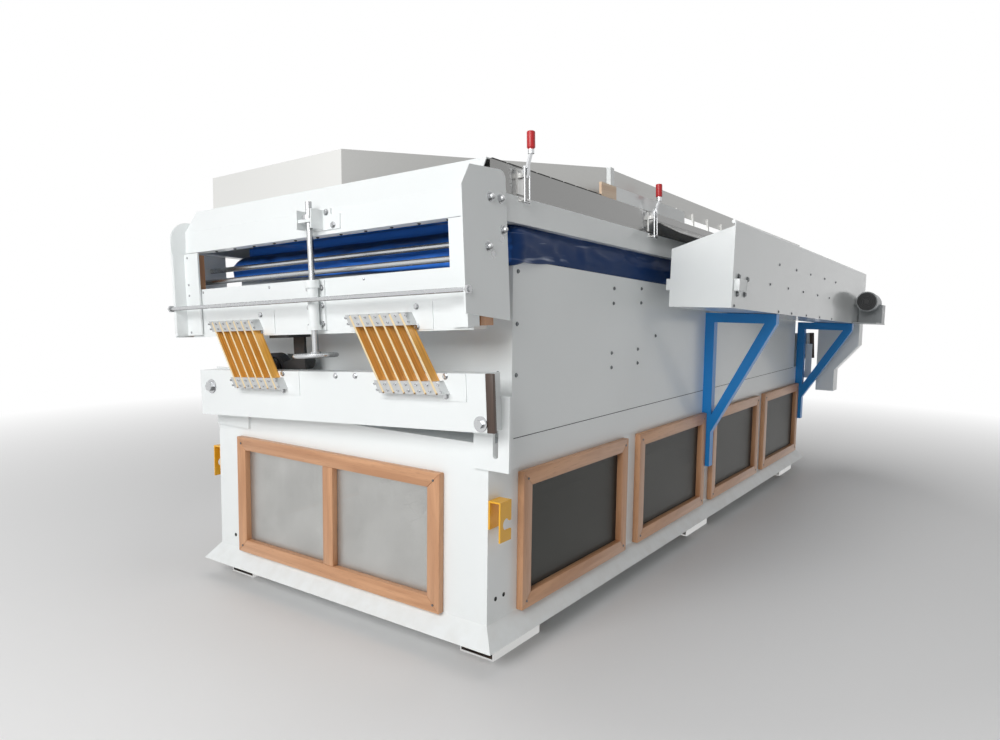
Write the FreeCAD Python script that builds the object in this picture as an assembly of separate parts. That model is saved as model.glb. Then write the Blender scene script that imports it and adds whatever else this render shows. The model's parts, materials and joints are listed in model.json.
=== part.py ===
"""Gravity separator: a tilting, shaking air table on a fan cabinet, with a side conveyor.

Row frame: +X runs from the handwheel end to the far end, +Y away from the conveyor side, +Z up.
The origin is on the floor under the middle of the cabinet. All sizes are millimetres.
Pieces of the tilting part are drawn level and then turned about the pivot bolts.
"""
import FreeCAD
import Part
import math
import os

V = FreeCAD.Vector

# cabinet and skirt
cabinet_length = 3970.0
cabinet_width = 1500.0
cabinet_top = 782.0
sheet = 4.0
skirt_flare = 55.0
skirt_height = 70.0
foot_height = 80.0
foot_board = 30.0
foot_length = 300.0
foot_width = 150.0
foot_steel = 6.0
foot_inset_x = 105.0
foot_inset_y = 60.0
anchor_hole_r = 9.0

# air chest
chest_setback = 132.0
chest_top_near = 1410.0
chest_fall_deg = 2.86
chest_cross_fall_deg = 2.0
shaft_slot_width = 70.0
shaft_slot_height = 130.0

# filter windows
side_frame_count = 4
side_frame_margin = 63.0
side_frame_gap = 122.0
side_frame_shift = 55.0
end_frame_width = 1145.0
end_frame_shift = 15.0
frame_foot_gap = 70.0
frame_height = 510.0
frame_board = 56.0
frame_thickness = 28.0
board_lap = 16.0
screen_thickness = 2.0

# fans
fan_width = 400.0
fan_wheel_r = 205.0
fan_wheel_width = 330.0
fan_inlet_r = 150.0
fan_hub_r = 55.0
fan_hub_width = 90.0
fan_blade_count = 8
fan_blade_depth = 60.0
fan_blade_lean_deg = 28.0
fan_plate = 4.0
scroll_start_r = 236.0
scroll_growth = 26.0
scroll_quarters = 3
fan_sides = 16
fan_shaft_r = 25.0
fan_shaft_z = 432.0
fan_pulley_r = 125.0
fan_motor_pulley_r = 70.0
fan_motor_r = 110.0
fan_motor_length = 330.0
fan_motor_y = -520.0
pulley_width = 36.0
pulley_rim = 3.0
belt_width = 30.0
belt_thickness = 8.0
bearing_width = 44.0
bearing_r = 48.0
bearing_gap = 90.0
bearing_drop = 65.0
pedestal_reach = 260.0
pedestal_top = 80.0
pedestal_plate = 12.0
pedestal_sole = 10.0
pedestal_sole_side = 20.0
motor_foot = 20.0
motor_stub_r = 19.0
motor_stub = 60.0
pulley_gap = 22.0

# side tilt
pivot_y = 659.0
pivot_z = 880.0
side_tilt_deg = 3.3
pivot_bolt_r = 12.0
adjust_bolt_r = 8.0
adjust_bolt_y = -784.0
adjust_bolt_z = 786.0
slot_up = 54.0
slot_down = 118.0
bracket_plate = 12.5
bracket_bottom = 698.0
bracket_height = 255.0
bracket_gap = 0.5
slotted_bracket_out = 58.0
slotted_bracket_in = 89.0
slot_play = 3.0
drilled_bracket_in = 133.0
drilled_bracket_out = 85.0
bolt_washer = 4.0
pivot_washer_r = 30.0
adjust_washer_r = 26.0
beam_depth = 82.0
beam_bottom = 757.0
beam_height = 192.0
beam_left_end = 739.0
beam_right_end = -808.0
beam_steel = 6.0
end_board = 30.0

# leaf spring packs
leaf_count = 6
leaf_pitch = 48.0
leaf_thickness = 8.0
leaf_width = 40.0
leaf_lean_deg = 29.0
pack_spacing = 818.0
pack_shift = 28.0
clamp_upper_z = 1134.5
clamp_lower_z = 902.5
clamp_height = 44.0
clamp_bite = 34.0
clamp_side = 15.0
backing = 4.0
backing_height = 92.0
backing_tail = 78.0
seat_gap = 0.25

# spring plates and side plates
plate_bottom = 1091.0
plate_height_near = 205.0
plate_depth = 70.0
plate_end_gap = 27.0
side_plate = 7.5
side_gap = 0.5
side_plate_forward = 82.0
side_plate_back = 157.0
side_plate_rise = 156.0
side_plate_top_fall = 6.0
side_plate_slant = 44.0
side_plate_slant_drop = 72.0
side_plate_low_front = 52.0
side_plate_low_back = 25.0
left_plate_setback = 17.0
left_plate_back = 200.0
left_plate_rise = 134.0
left_plate_corner_r = 80.0
plate_corner_r = 30.0
far_plate_forward = 142.0
far_plate_front_height = 250.0
far_plate_back_height = 290.0
strip_width = 106.0
strip_steel = 8.0
strip_forward = 5.0
strip_lift = 9.0
strip_leg = 60.0
strip_top_gap = 4.0
spacer_lift = 12.0
spacer_pitch = 56.0
spacer_height = 44.0
pad_width = 54.0
pad_depth = 36.0
pad_inset = 35.0
pad_top_gap = 12.0
rod_r = 11.0
upper_rod_back = 125.0
upper_rod_drop = 72.0
lower_rod_back = 74.0
lower_rod_drop = 125.0
front_rod_r = 8.0
front_rod_gap = 22.0
front_rod_rise = 126.0
rod_overhang = 14.0
rod_nut = 10.0

# shaker drive
shaft_r = 20.0
shaft_y = 400.0
shaft_z = 940.0
eccentricity = 4.0
sheave_r = 48.0
ring_r = 75.0
ring_width = 44.0
ring_clearance = 9.5
rod_reach = 189.0
rod_rise_deg = 12.0
drive_pulley_r = 80.0
drive_motor_r = 62.0
drive_motor_length = 240.0
drive_motor_pulley_r = 40.0
drive_motor_y = -50.0
drive_motor_lift = 66.0
drive_stub_r = 12.0
drive_stub = 50.0
shelf_depth = 45.0
shelf_side = 8.0
shelf_plate = 10.0
gusset_drop = 80.0
gusset_steel = 8.0
drive_bearing_r = 70.0
drive_bearing_plate = 12.0
drive_bearing_boss_r = 42.0
drive_bearing_boss = 30.0
sheave_gap = 12.0

# deck
deck_slope_deg = 2.5
deck_end_gap = 10.0
deck_width = 1594.0
deck_near_z = 1456.0
rail_height = 92.0
rail_flange = 50.0
rail_steel = 5.0
tray_height = 98.0
tray_steel = 4.0
tray_inset = 20.0
tray_flange = 34.0
slat_lift = 25.0
slat_cover = 10.0
end_band_back = 55.0
grid_bar = 4.0
grid_count = 9
screen_inset = 12.0
wall_height = 140.0
wall_steel = 3.0
corner_x = 85.0
corner_y = -97.0
wall_left = 713.0
post_x = 972.0
post_size = 32.0
gate_length = 744.0
gate_height = 56.0
wood_length = 130.0
hood_gap = 45.0
hood_stub = 16.0
hood_stub_depth = 10.0
hood_stub_lap = 30.0
hood_stub_start = 700.0
hood_stub_count = 12
hood_head = 20.0
lip_reach = 128.0
lip_drop = 70.0
hinge_y = 600.0
hinge_pin_r = 12.0
hinge_inset = 30.0
hinge_drop = 22.0
hinge_rise = 28.0
hinge_base = 8.0
lug_width = 40.0

# end lift
lift_out = 32.0
lift_y = -50.0
lift_rod_r = 12.0
sleeve_r = 20.0
collar_r = 27.0
lift_play = 3.6
sleeve_low = 1106.0
sleeve_high = 1290.0
lift_top_z = 1578.0
clevis_z = 1505.0
clevis_seat = 6.0
clevis_base = 6.0
clevis_low = 34.0
clevis_high = 44.0
clevis_right = 83.0
clevis_left = 50.0
clevis_foot = 131.0
clevis_foot_high = 20.0
cheek_reach = 36.0
cheek_steel = 6.0
screw_collar_gap = 2.6
screw_collar_r = 25.0
screw_collar = 14.0
jack_plate = 8.0
wheel_z = 1018.0
wheel_r = 85.0
wheel_rim_r = 8.0
wheel_rim_sides = 8
wheel_spokes = 3
spoke_r = 5.0

# toggle clamps
clamp_places = (252.0, 1308.0)
clamp_pivot_out = 18.0
clamp_pivot_z = 162.0
clamp_pin_r = 3.0
clamp_base_low = 6.0
clamp_base_height = 86.0
clamp_base_width = 48.0
clamp_base_steel = 4.0
hook_out = 27.0
hook_z = 186.0
hook_bottom_z = 70.0
hook_half_width = 15.0
hook_wire_r = 3.5
handle_length = 135.0

# conveyor
conveyor_start_x = -750.0
conveyor_length = 3000.0
conveyor_width = 286.0
conveyor_gap = 56.0
conveyor_bottom_z = 1243.0
conveyor_fall_deg = 2.7
conveyor_outer_height = 371.0
conveyor_inner_height = 261.0
conveyor_lip_r = 9.0
drum_r = 50.0
drum_inset = 120.0
drive_inset = 168.0
outlet_length = 96.0
drum_z = 90.0
drum_shaft_r = 12.5
conveyor_belt_width = 236.0
conveyor_belt_thickness = 4.0
bracket_near_inset = 772.0
bracket_far_inset = 304.0
bracket_tube = 50.0
bracket_post_drop = (840.0, 720.0)
bracket_reach = 375.0
bracket_brace_drop = (650.0, 560.0)
gearmotor_r = 70.0
gearmotor_length = 205.0
gearbox_width = 160.0
worm_rise = 66.0
worm_length = 132.0
worm_r = 54.0
gearmotor_cowl = 50.0
spout_inset = 7.0
spout_depth = 128.0
spout_straight = 160.0
spout_slant = 190.0
spout_narrowing = 160.0

# hooks and cloth
hook_plate = 6.0
hook_height = 140.0
hook_length = 66.0
hook_inset = 2.0
hook_stand = 50.0
hook_throat_r = 20.0
hook_base_z = 450.0
cloth = 3.0
cloth_lap = 30.0
cloth_clearance = 5.0
running = 0.05
loose = 0.4

# places worked out from the sizes above
half_length = cabinet_length / 2
half_width = cabinet_width / 2
side_frame_pitch = (cabinet_length - 2 * side_frame_margin) / side_frame_count
side_frame_width = side_frame_pitch - side_frame_gap
chest_half = half_length - chest_setback
beam_back = half_length + bracket_plate + bracket_gap
beam_front = beam_back + beam_depth
deck_length = 2 * beam_front - deck_end_gap
deck_half = deck_width / 2
lift_x = beam_front + lift_out
sheave_x = beam_back - drive_bearing_boss - sheave_gap - ring_width / 2
drive_pulley_x = (sheave_x - ring_width / 2 + chest_half) / 2
drive_motor_z = beam_bottom + beam_height + drive_motor_lift
slope = math.radians(deck_slope_deg)
lean = math.radians(leaf_lean_deg)
hinge_x = -beam_front + deck_length * math.cos(slope) - hinge_inset
hinge_z = deck_near_z - deck_length * math.sin(slope) - hinge_drop
plate_height_far = hinge_z - hinge_rise - plate_bottom
window_low = foot_height + frame_foot_gap
pack_centres = (pack_shift + pack_spacing / 2, pack_shift - pack_spacing / 2)
leaf_span = clamp_upper_z - clamp_lower_z
front_rod_x = -lift_x - sleeve_r - front_rod_gap
front_rod_z = plate_bottom + front_rod_rise
tie_rods_at = [(-beam_front + upper_rod_back, deck_near_z - upper_rod_drop, rod_r),
               (-beam_front + lower_rod_back, deck_near_z - lower_rod_drop, rod_r)]
conveyor_inner = deck_half + conveyor_gap
conveyor_outer = conveyor_inner + conveyor_width
conveyor_belt_y = -(conveyor_outer + conveyor_inner) / 2
drive_drum_x = conveyor_length - drive_inset
conveyor_end_x = conveyor_start_x + conveyor_length * math.cos(math.radians(conveyor_fall_deg))
bracket_places = (conveyor_start_x + bracket_near_inset, conveyor_end_x - bracket_far_inset)
spout_far = conveyor_end_x - spout_inset
spout_near = spout_far - spout_depth


def box(x0, x1, y0, y1, z0, z1):
    """Block between two corners."""
    return Part.makeBox(x1 - x0, y1 - y0, z1 - z0, V(x0, y0, z0))


def rod(start, direction, radius, length):
    """Round bar from a point along a direction."""
    return Part.makeCylinder(radius, length, V(*start), V(*direction))


def slab(points, thickness):
    """Closed outline of 3-D points pushed along a vector."""
    wire = Part.makePolygon([V(*p) for p in points] + [V(*points[0])])
    return Part.Face(wire).extrude(V(*thickness))


def rounded(solid, corners, radius):
    """Solid whose edges along Y at the given x, z corners are rounded."""
    edges = [edge for edge in solid.Edges for x, z in corners
             if math.hypot(edge.CenterOfMass.x - x, edge.CenterOfMass.z - z) < 1]
    return solid.makeFillet(radius, edges)


def fuse(shapes):
    """One solid of several that touch or overlap."""
    shapes = list(shapes)
    return shapes[0].fuse(shapes[1:]).removeSplitter() if len(shapes) > 1 else shapes[0]


def group(shapes):
    """Separate solids kept together as one sub-part."""
    return Part.makeCompound([solid for shape in shapes for solid in shape.Solids])


def at_both_ends(shape):
    """A piece of the handwheel end with its mirror copy at the far end."""
    return group([shape, shape.mirror(V(0, 0, 0), V(1, 0, 0))])


def moved(shape, x=0, y=0, z=0):
    copy = shape.copy()
    copy.translate(V(x, y, z))
    return copy


def turned(shape, centre, axis, degrees):
    copy = shape.copy()
    copy.rotate(V(*centre), V(*axis), degrees)
    return copy


def tilted(shape):
    """Level drawing turned about the pivot bolts to the working side tilt."""
    return turned(shape, (0, pivot_y, pivot_z), (1, 0, 0), -side_tilt_deg)


def on_deck(shape):
    """Piece drawn with x, z from the deck frame's near bottom edge, put on the sloping deck."""
    placed = turned(shape, (0, 0, 0), (0, 1, 0), deck_slope_deg)
    placed.translate(V(-beam_front, 0, deck_near_z))
    return tilted(placed)


def on_conveyor(shape):
    """Piece drawn with x, z from the conveyor's near bottom edge, put on its slope."""
    placed = turned(shape, (0, 0, 0), (0, 1, 0), conveyor_fall_deg)
    placed.translate(V(conveyor_start_x, 0, conveyor_bottom_z))
    return placed


def chest_top(x, y):
    """Height of the chest's sloping rim."""
    fall = (x + chest_half) * math.tan(math.radians(chest_fall_deg))
    cross = (y + half_width) * math.tan(math.radians(chest_cross_fall_deg))
    return chest_top_near - fall - cross


def belt_loop(centre_a, radius_a, centre_b, radius_b):
    """Face inside a belt round two pulleys, in the YZ plane at x = 0."""
    ay, az = centre_a
    by, bz = centre_b
    span = math.hypot(by - ay, bz - az)
    along = math.atan2(bz - az, by - ay)
    lift = math.acos((radius_a - radius_b) / span)
    outline = []
    for side in (1, -1):
        angle = along + side * lift
        for (cy, cz), radius in ((centre_a, radius_a), (centre_b, radius_b)):
            outline.append(V(0, cy + radius * math.cos(angle), cz + radius * math.sin(angle)))
    top_a, top_b, low_a, low_b = outline
    far_a = V(0, ay - radius_a * math.cos(along), az - radius_a * math.sin(along))
    far_b = V(0, by + radius_b * math.cos(along), bz + radius_b * math.sin(along))
    edges = [
        Part.LineSegment(top_a, top_b).toShape(),
        Part.Arc(top_b, far_b, low_b).toShape(),
        Part.LineSegment(low_b, low_a).toShape(),
        Part.Arc(low_a, far_a, top_a).toShape(),
    ]
    return Part.Face(Part.Wire(edges))


def belt(centre_a, radius_a, centre_b, radius_b, x, width, thickness):
    """Flat closed belt lying just clear of its two pulleys."""
    gap = 0.3
    outer = belt_loop(centre_a, radius_a + gap + thickness, centre_b, radius_b + gap + thickness)
    inner = belt_loop(centre_a, radius_a + gap, centre_b, radius_b + gap)
    return moved(outer.extrude(V(width, 0, 0)).cut(inner.extrude(V(width, 0, 0))), x - width / 2)


def grooved_pulley(centre, radius, bore, x):
    """Two-groove belt pulley on an axis along X."""
    y, z = centre
    wheel = rod((x - pulley_width / 2, y, z), (1, 0, 0), radius, pulley_width)
    for side in (-1, 1):
        web = rod((x + side * pulley_width / 2, y, z), (side, 0, 0), radius + belt_thickness,
                  pulley_rim)
        wheel = wheel.fuse(web)
    hole = rod((x - pulley_width, y, z), (1, 0, 0), bore + running, 2 * pulley_width)
    return wheel.removeSplitter().cut(hole)


# base: feet, skirt and cabinet

def foot_places():
    reach_x = half_length + skirt_flare - foot_inset_x - foot_length / 2
    reach_y = half_width + skirt_flare - foot_inset_y - foot_width / 2
    return [(x, y) for x in (-reach_x, 0, reach_x) for y in (-reach_y, reach_y)]


def feet_channels():
    """Upturned steel channels, drilled through the web for floor anchors."""
    height = foot_height - foot_board
    feet = []
    for x, y in foot_places():
        x0, y0 = x - foot_length / 2, y - foot_width / 2
        foot = box(x0, x0 + foot_length, y0, y0 + foot_width, 0, height)
        foot = foot.cut(box(x0, x0 + foot_length, y0 + foot_steel, y0 + foot_width - foot_steel,
                            foot_steel, height))
        feet.append(foot.cut(rod((x, y, -1), (0, 0, 1), anchor_hole_r, foot_steel + 2)))
    return group(feet)


def foot_boards():
    return group(box(x - foot_length / 2, x + foot_length / 2, y - foot_width / 2,
                     y + foot_width / 2, foot_height - foot_board, foot_height)
                 for x, y in foot_places())


def base_skirt():
    """Flared plinth sheet, one mitred strip for each side."""
    low = foot_height
    high = foot_height + skirt_height

    def frustum(inset):
        wires = []
        for z, flare in ((low, skirt_flare), (high, 0)):
            x, y = half_length + flare - inset, half_width + flare - inset
            wires.append(Part.makePolygon([V(-x, -y, z), V(x, -y, z), V(x, y, z), V(-x, y, z),
                                           V(-x, -y, z)]))
        return Part.makeLoft(wires, True, True)

    cabinet = box(-half_length, half_length, -half_width, half_width, 0, cabinet_top)
    ring = frustum(0).cut(frustum(sheet)).cut(cabinet)
    far_x = half_length + 2 * skirt_flare
    far_y = half_width + 2 * skirt_flare
    inner = half_length - half_width
    strips = []
    for side in (-1, 1):
        long_wedge = slab([(-far_x, side * far_y, 0), (far_x, side * far_y, 0), (inner, 0, 0),
                           (-inner, 0, 0)], (0, 0, cabinet_top))
        end_wedge = slab([(side * far_x, -far_y, 0), (side * far_x, far_y, 0),
                          (side * inner, 0, 0)], (0, 0, cabinet_top))
        strips += [ring.common(long_wedge), ring.common(end_wedge)]
    return group(strips)


def side_frame_centres():
    first = side_frame_shift - (side_frame_count - 1) * side_frame_pitch / 2
    return [first + i * side_frame_pitch for i in range(side_frame_count)]


def base_cabinet():
    """Side and end panels with window cut-outs, floor, and the ledge under the chest."""
    opening_low = window_low + frame_board - board_lap
    opening_high = window_low + frame_height - frame_board + board_lap
    half_opening = side_frame_width / 2 - frame_board + board_lap
    floor_top = foot_height + sheet
    roof = cabinet_top - sheet
    panels = []
    for side in (-1, 1):
        inner, outer = sorted((side * (half_width - sheet), side * half_width))
        panel = box(-half_length, half_length, inner, outer, floor_top, roof)
        for centre in side_frame_centres():
            panel = panel.cut(box(centre - half_opening, centre + half_opening, inner, outer,
                                  opening_low, opening_high))
        panels.append(panel)
        inner, outer = sorted((side * (half_length - sheet), side * half_length))
        end = box(inner, outer, -half_width + sheet, half_width - sheet, floor_top, roof)
        half_end = end_frame_width / 2 - frame_board + board_lap
        end = end.cut(box(inner, outer, end_frame_shift - half_end, end_frame_shift + half_end,
                          opening_low, opening_high))
        panels.append(end)
        ledge_in, ledge_out = sorted((side * (chest_half - 40), side * half_length))
        panels.append(box(ledge_in, ledge_out, -half_width, half_width, roof, cabinet_top))
        strip_in, strip_out = sorted((side * (half_width - 40), side * half_width))
        panels.append(box(-chest_half + 40, chest_half - 40, strip_in, strip_out, roof,
                          cabinet_top))
    panels.append(box(-half_length, half_length, -half_width, half_width, foot_height, floor_top))
    return group(panels)


def window_frame(width, height, mullion):
    """Boards of one wooden window frame, flat in the XZ plane with its back at y = 0."""
    half = width / 2
    lap = frame_board
    boards = [
        slab([(-half, 0, 0), (half, 0, 0), (half - lap, 0, lap), (-half + lap, 0, lap)],
             (0, -frame_thickness, 0)),
        slab([(-half, 0, height), (half, 0, height), (half - lap, 0, height - lap),
              (-half + lap, 0, height - lap)], (0, -frame_thickness, 0)),
    ]
    for side in (-1, 1):
        boards.append(slab([(side * half, 0, 0), (side * half, 0, height),
                            (side * (half - lap), 0, height - lap), (side * (half - lap), 0, lap)],
                           (0, -frame_thickness, 0)))
    if mullion:
        boards.append(box(-lap / 2, lap / 2, -frame_thickness, 0, lap, height - lap))
    return group(boards)


def around_cabinet(side_piece, end_piece):
    """Copies of a window part along both long sides, and on both ends."""
    sides = []
    for centre in side_frame_centres():
        near = moved(side_piece, centre, -half_width, window_low)
        far = turned(side_piece, (0, 0, 0), (0, 0, 1), 180)
        sides += [near, moved(far, centre, half_width, window_low)]
    near_end = turned(end_piece, (0, 0, 0), (0, 0, 1), -90)
    far_end = turned(end_piece, (0, 0, 0), (0, 0, 1), 90)
    ends = [moved(near_end, -half_length, end_frame_shift, window_low),
            moved(far_end, half_length, end_frame_shift, window_low)]
    return group(sides + ends)


def filter_frames():
    return around_cabinet(window_frame(side_frame_width, frame_height, False),
                          window_frame(end_frame_width, frame_height, True))


def filter_screens():
    """Wire mesh panels that fill the openings, level with the cabinet's skin."""
    low = frame_board + loose
    high = frame_height - frame_board - loose

    def panel(x0, x1):
        return box(x0 + loose, x1 - loose, -screen_thickness, 0, low, high)

    half_side = side_frame_width / 2 - frame_board
    half_end = end_frame_width / 2 - frame_board
    panes = group([panel(-half_end, -frame_board / 2), panel(frame_board / 2, half_end)])
    return around_cabinet(panel(-half_side, half_side), panes)


def upper_chest():
    """Four bolted panels whose rim falls to the far end and across to the low side."""
    panels = []
    for side in (-1, 1):
        y = side * half_width
        outline = [(-chest_half, y, cabinet_top), (chest_half, y, cabinet_top),
                   (chest_half, y, chest_top(chest_half, y)),
                   (-chest_half, y, chest_top(-chest_half, y))]
        panels.append(slab(outline, (0, -side * sheet, 0)))
        panels += chest_end(side * chest_half, -side * sheet)
    return group(panels)


def chest_end(x, thickness):
    """End panel made up round the slot that the eccentric shaft passes through."""
    edge = half_width - sheet
    slot_y, slot_z = tilted_point(shaft_y, shaft_z)
    left, right = slot_y - shaft_slot_width / 2, slot_y + shaft_slot_width / 2
    low, high = slot_z - shaft_slot_height / 2, slot_z + shaft_slot_height / 2

    def sheet_part(y0, y1, z0=cabinet_top, z1=None):
        tops = [(x, y, z1 or chest_top(x, y)) for y in (y1, y0)]
        return slab([(x, y0, z0), (x, y1, z0)] + tops, (thickness, 0, 0))

    return [sheet_part(-edge, left), sheet_part(right, edge), sheet_part(left, right, z1=low),
            sheet_part(left, right, z0=high)]


def tilted_point(y, z):
    """Where a point of the level drawing lies after the side tilt."""
    angle = math.radians(-side_tilt_deg)
    dy, dz = y - pivot_y, z - pivot_z
    return (pivot_y + dy * math.cos(angle) - dz * math.sin(angle),
            pivot_z + dy * math.sin(angle) + dz * math.cos(angle))


# base: fans

def scroll_corners(inset):
    """Corners of the folded spiral casing in the YZ plane, from the outlet's inner side round."""
    centre = V(0, 0, fan_shaft_z)
    radius = scroll_start_r
    corners = []
    for quarter in range(scroll_quarters):
        for half in range(2):
            angle = math.radians(90 + 90 * quarter + 45 * half)
            corners.append(centre + V(0, math.cos(angle), math.sin(angle)) * (radius - inset))
        angle = math.radians(180 + 90 * quarter)
        centre = centre - V(0, math.cos(angle), math.sin(angle)) * scroll_growth
        radius += scroll_growth
    corners.append(centre + V(0, math.cos(angle), math.sin(angle)) * (radius - inset))
    start = corners[0]
    return ([V(0, start.y + inset, cabinet_top), V(0, start.y + inset, start.z)] + corners[1:]
            + [V(0, corners[-1].y, cabinet_top)])


def many_sided(radius, length):
    """Many-sided disc along X from x = 0, as the folded fan parts have."""
    angles = [math.radians(360.0 * i / fan_sides) for i in range(fan_sides)]
    corners = [(0, radius * math.cos(a), radius * math.sin(a)) for a in angles]
    return slab(corners, (length, 0, 0))


def casing_side(outline):
    """Side of a casing, made up of sectors between its outline and the round eye."""
    centre = V(0, 0, fan_shaft_z)
    rim = outline[1:] + outline[:1]
    points = rim[:1]
    for corner in rim[1:]:
        points += [(points[-1] + corner) / 2, corner]
    sectors = []
    for first, second in zip(points, points[1:]):
        inner = [centre + (point - centre).normalize() * fan_inlet_r
                 for point in (second, first)]
        sectors.append(slab([first, second] + inner, (sheet, 0, 0)))
    return sectors


def fan_housings():
    """Four casings of folded sheet that blow up into the chest, open at both eyes."""
    outer, inner = scroll_corners(0), scroll_corners(sheet)
    side = casing_side(outer)
    casing = side + [moved(sector, fan_width - sheet) for sector in side]
    for i in range(len(outer) - 1):
        strip = slab([outer[i], outer[i + 1], inner[i + 1], inner[i]],
                     (fan_width - 2 * sheet, 0, 0))
        casing.append(moved(strip, sheet))
    casing = group(casing)
    return group(moved(casing, centre - fan_width / 2) for centre in side_frame_centres())


def chest_floor():
    """Plate between cabinet and chest with an outlet over each fan."""
    inside = 0.5
    plate = box(-chest_half + sheet + inside, chest_half - sheet - inside,
                -half_width + sheet + inside, half_width - sheet - inside,
                cabinet_top, cabinet_top + sheet)
    outlet_reach = scroll_start_r + 2 * scroll_growth
    for centre in side_frame_centres():
        plate = plate.cut(box(centre - fan_width / 2 + sheet, centre + fan_width / 2 - sheet,
                              sheet, outlet_reach, cabinet_top - 1, cabinet_top + sheet + 1))
    return plate


def fan_wheels():
    """Four double-inlet wheels: a disc on a hub, with leaning blades on both its faces."""
    half = fan_wheel_width / 2
    bore = rod((-half, 0, 0), (1, 0, 0), fan_shaft_r + running, fan_wheel_width)
    hub = rod((-fan_hub_width / 2, 0, 0), (1, 0, 0), fan_hub_r, fan_hub_width)
    disc = moved(many_sided(fan_wheel_r, fan_plate), -fan_plate / 2)
    wheel = [disc.cut(hub), hub.cut(bore)]
    blade_low = fan_wheel_r - fan_blade_depth
    tip_gap = 8
    for x0, x1 in ((-half, -fan_plate / 2), (fan_plate / 2, half)):
        blade = box(x0, x1, -fan_plate / 2, fan_plate / 2, blade_low, fan_wheel_r - tip_gap)
        blade = turned(blade, (0, 0, blade_low + fan_blade_depth / 2), (1, 0, 0),
                       fan_blade_lean_deg)
        wheel += [turned(blade, (0, 0, 0), (1, 0, 0), 360.0 * i / fan_blade_count)
                  for i in range(fan_blade_count)]
    wheel = group(wheel)
    return group(moved(wheel, centre, 0, fan_shaft_z) for centre in side_frame_centres())


def fan_bearing_places():
    centres = side_frame_centres()
    reach = fan_width / 2 + bearing_gap
    return [centres[0] - reach, (centres[1] + centres[2]) / 2, centres[-1] + reach]


def fan_bearings():
    """Pillow blocks on triangular pedestals that stand on the cabinet floor."""
    floor = foot_height + sheet
    seat = fan_shaft_z - bearing_drop
    half = bearing_width / 2
    stands = []
    for x in fan_bearing_places():
        x0 = x - pedestal_plate / 2
        plate = slab([(x0, -pedestal_reach, floor), (x0, pedestal_reach, floor),
                      (x0, pedestal_top, seat), (x0, -pedestal_top, seat)],
                     (pedestal_plate, 0, 0))
        side = half + pedestal_sole_side
        sole = box(x - side, x + side, -pedestal_reach, pedestal_reach, floor,
                   floor + pedestal_sole)
        table = box(x - half, x + half, -pedestal_top - 10, pedestal_top + 10, seat,
                    seat + pedestal_plate)
        block = box(x - half, x + half, -bearing_r, bearing_r, seat + pedestal_plate, fan_shaft_z)
        crown = rod((x - half, 0, fan_shaft_z), (1, 0, 0), bearing_r, bearing_width)
        stand = fuse([plate, sole, table, block, crown])
        bore = rod((x - bearing_width, 0, fan_shaft_z), (1, 0, 0), fan_shaft_r + running,
                   2 * bearing_width)
        stands.append(stand.cut(bore))
    return group(stands)


def fan_pulley_x():
    return fan_bearing_places()[-1] + bearing_width / 2 + pulley_width


def fan_shaft():
    start = fan_bearing_places()[0] - 50
    end = fan_pulley_x() + pulley_width / 2 + 12
    return rod((start, 0, fan_shaft_z), (1, 0, 0), fan_shaft_r, end - start)


def fan_pulley():
    return grooved_pulley((0, fan_shaft_z), fan_pulley_r, fan_shaft_r, fan_pulley_x())


def fan_motor_centre():
    return fan_motor_y, foot_height + sheet + fan_motor_r + motor_foot


def motor_body(length, radius, shaft_radius, stub, sole, box_turn):
    """Foot-mounted motor along X: finned case, end bells, feet and a shaft hole at x = length."""
    case = rod((18, 0, 0), (1, 0, 0), radius * 0.94, length - 36)
    fin_count = 8
    for i in range(fin_count):
        fin = box(24, length - 70, -2.5, 2.5, radius * 0.85, radius)
        case = case.fuse(turned(fin, (0, 0, 0), (1, 0, 0), 360.0 * i / fin_count))
    front = rod((length - 50, 0, 0), (1, 0, 0), radius, 50)
    back = rod((0, 0, 0), (1, 0, 0), radius, 24)
    feet = box(length * 0.3, length * 0.8, -radius, radius, -sole, -sole + 10)
    pads = [box(length * 0.35, length * 0.75, y - 12, y + 12, -sole + 5, -radius * 0.5)
            for y in (-radius * 0.6, radius * 0.6)]
    terminal = box(length * 0.4, length * 0.7, -radius * 0.45, radius * 0.45, radius * 0.8,
                   radius * 1.35)
    terminal = turned(terminal, (0, 0, 0), (1, 0, 0), box_turn)
    body = fuse([case, front, back, feet, terminal] + pads)
    return body.cut(rod((length - stub, 0, 0), (1, 0, 0), shaft_radius + running, stub + 1))


def fan_motor():
    y, z = fan_motor_centre()
    motor = motor_body(fan_motor_length, fan_motor_r, motor_stub_r, motor_stub,
                       fan_motor_r + motor_foot, 0)
    return moved(motor, fan_pulley_x() - pulley_width / 2 - pulley_gap - fan_motor_length, y, z)


def pulley_with_stub(centre, radius, stub_r, stub, x):
    """Motor pulley in one piece with the shaft end that turns in the motor."""
    wheel = grooved_pulley(centre, radius, stub_r - 2 * running, x)
    start = x - pulley_width / 2 - stub
    return wheel.fuse(rod((start, centre[0], centre[1]), (1, 0, 0), stub_r,
                          stub + pulley_width)).removeSplitter()


def fan_motor_pulley():
    return pulley_with_stub(fan_motor_centre(), fan_motor_pulley_r, motor_stub_r,
                            motor_stub + motor_foot / 2, fan_pulley_x())


def fan_belt():
    return belt((0, fan_shaft_z), fan_pulley_r, fan_motor_centre(), fan_motor_pulley_r,
                fan_pulley_x(), belt_width, belt_thickness - 1)


# base: tilt brackets, bolts and hooks

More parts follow.
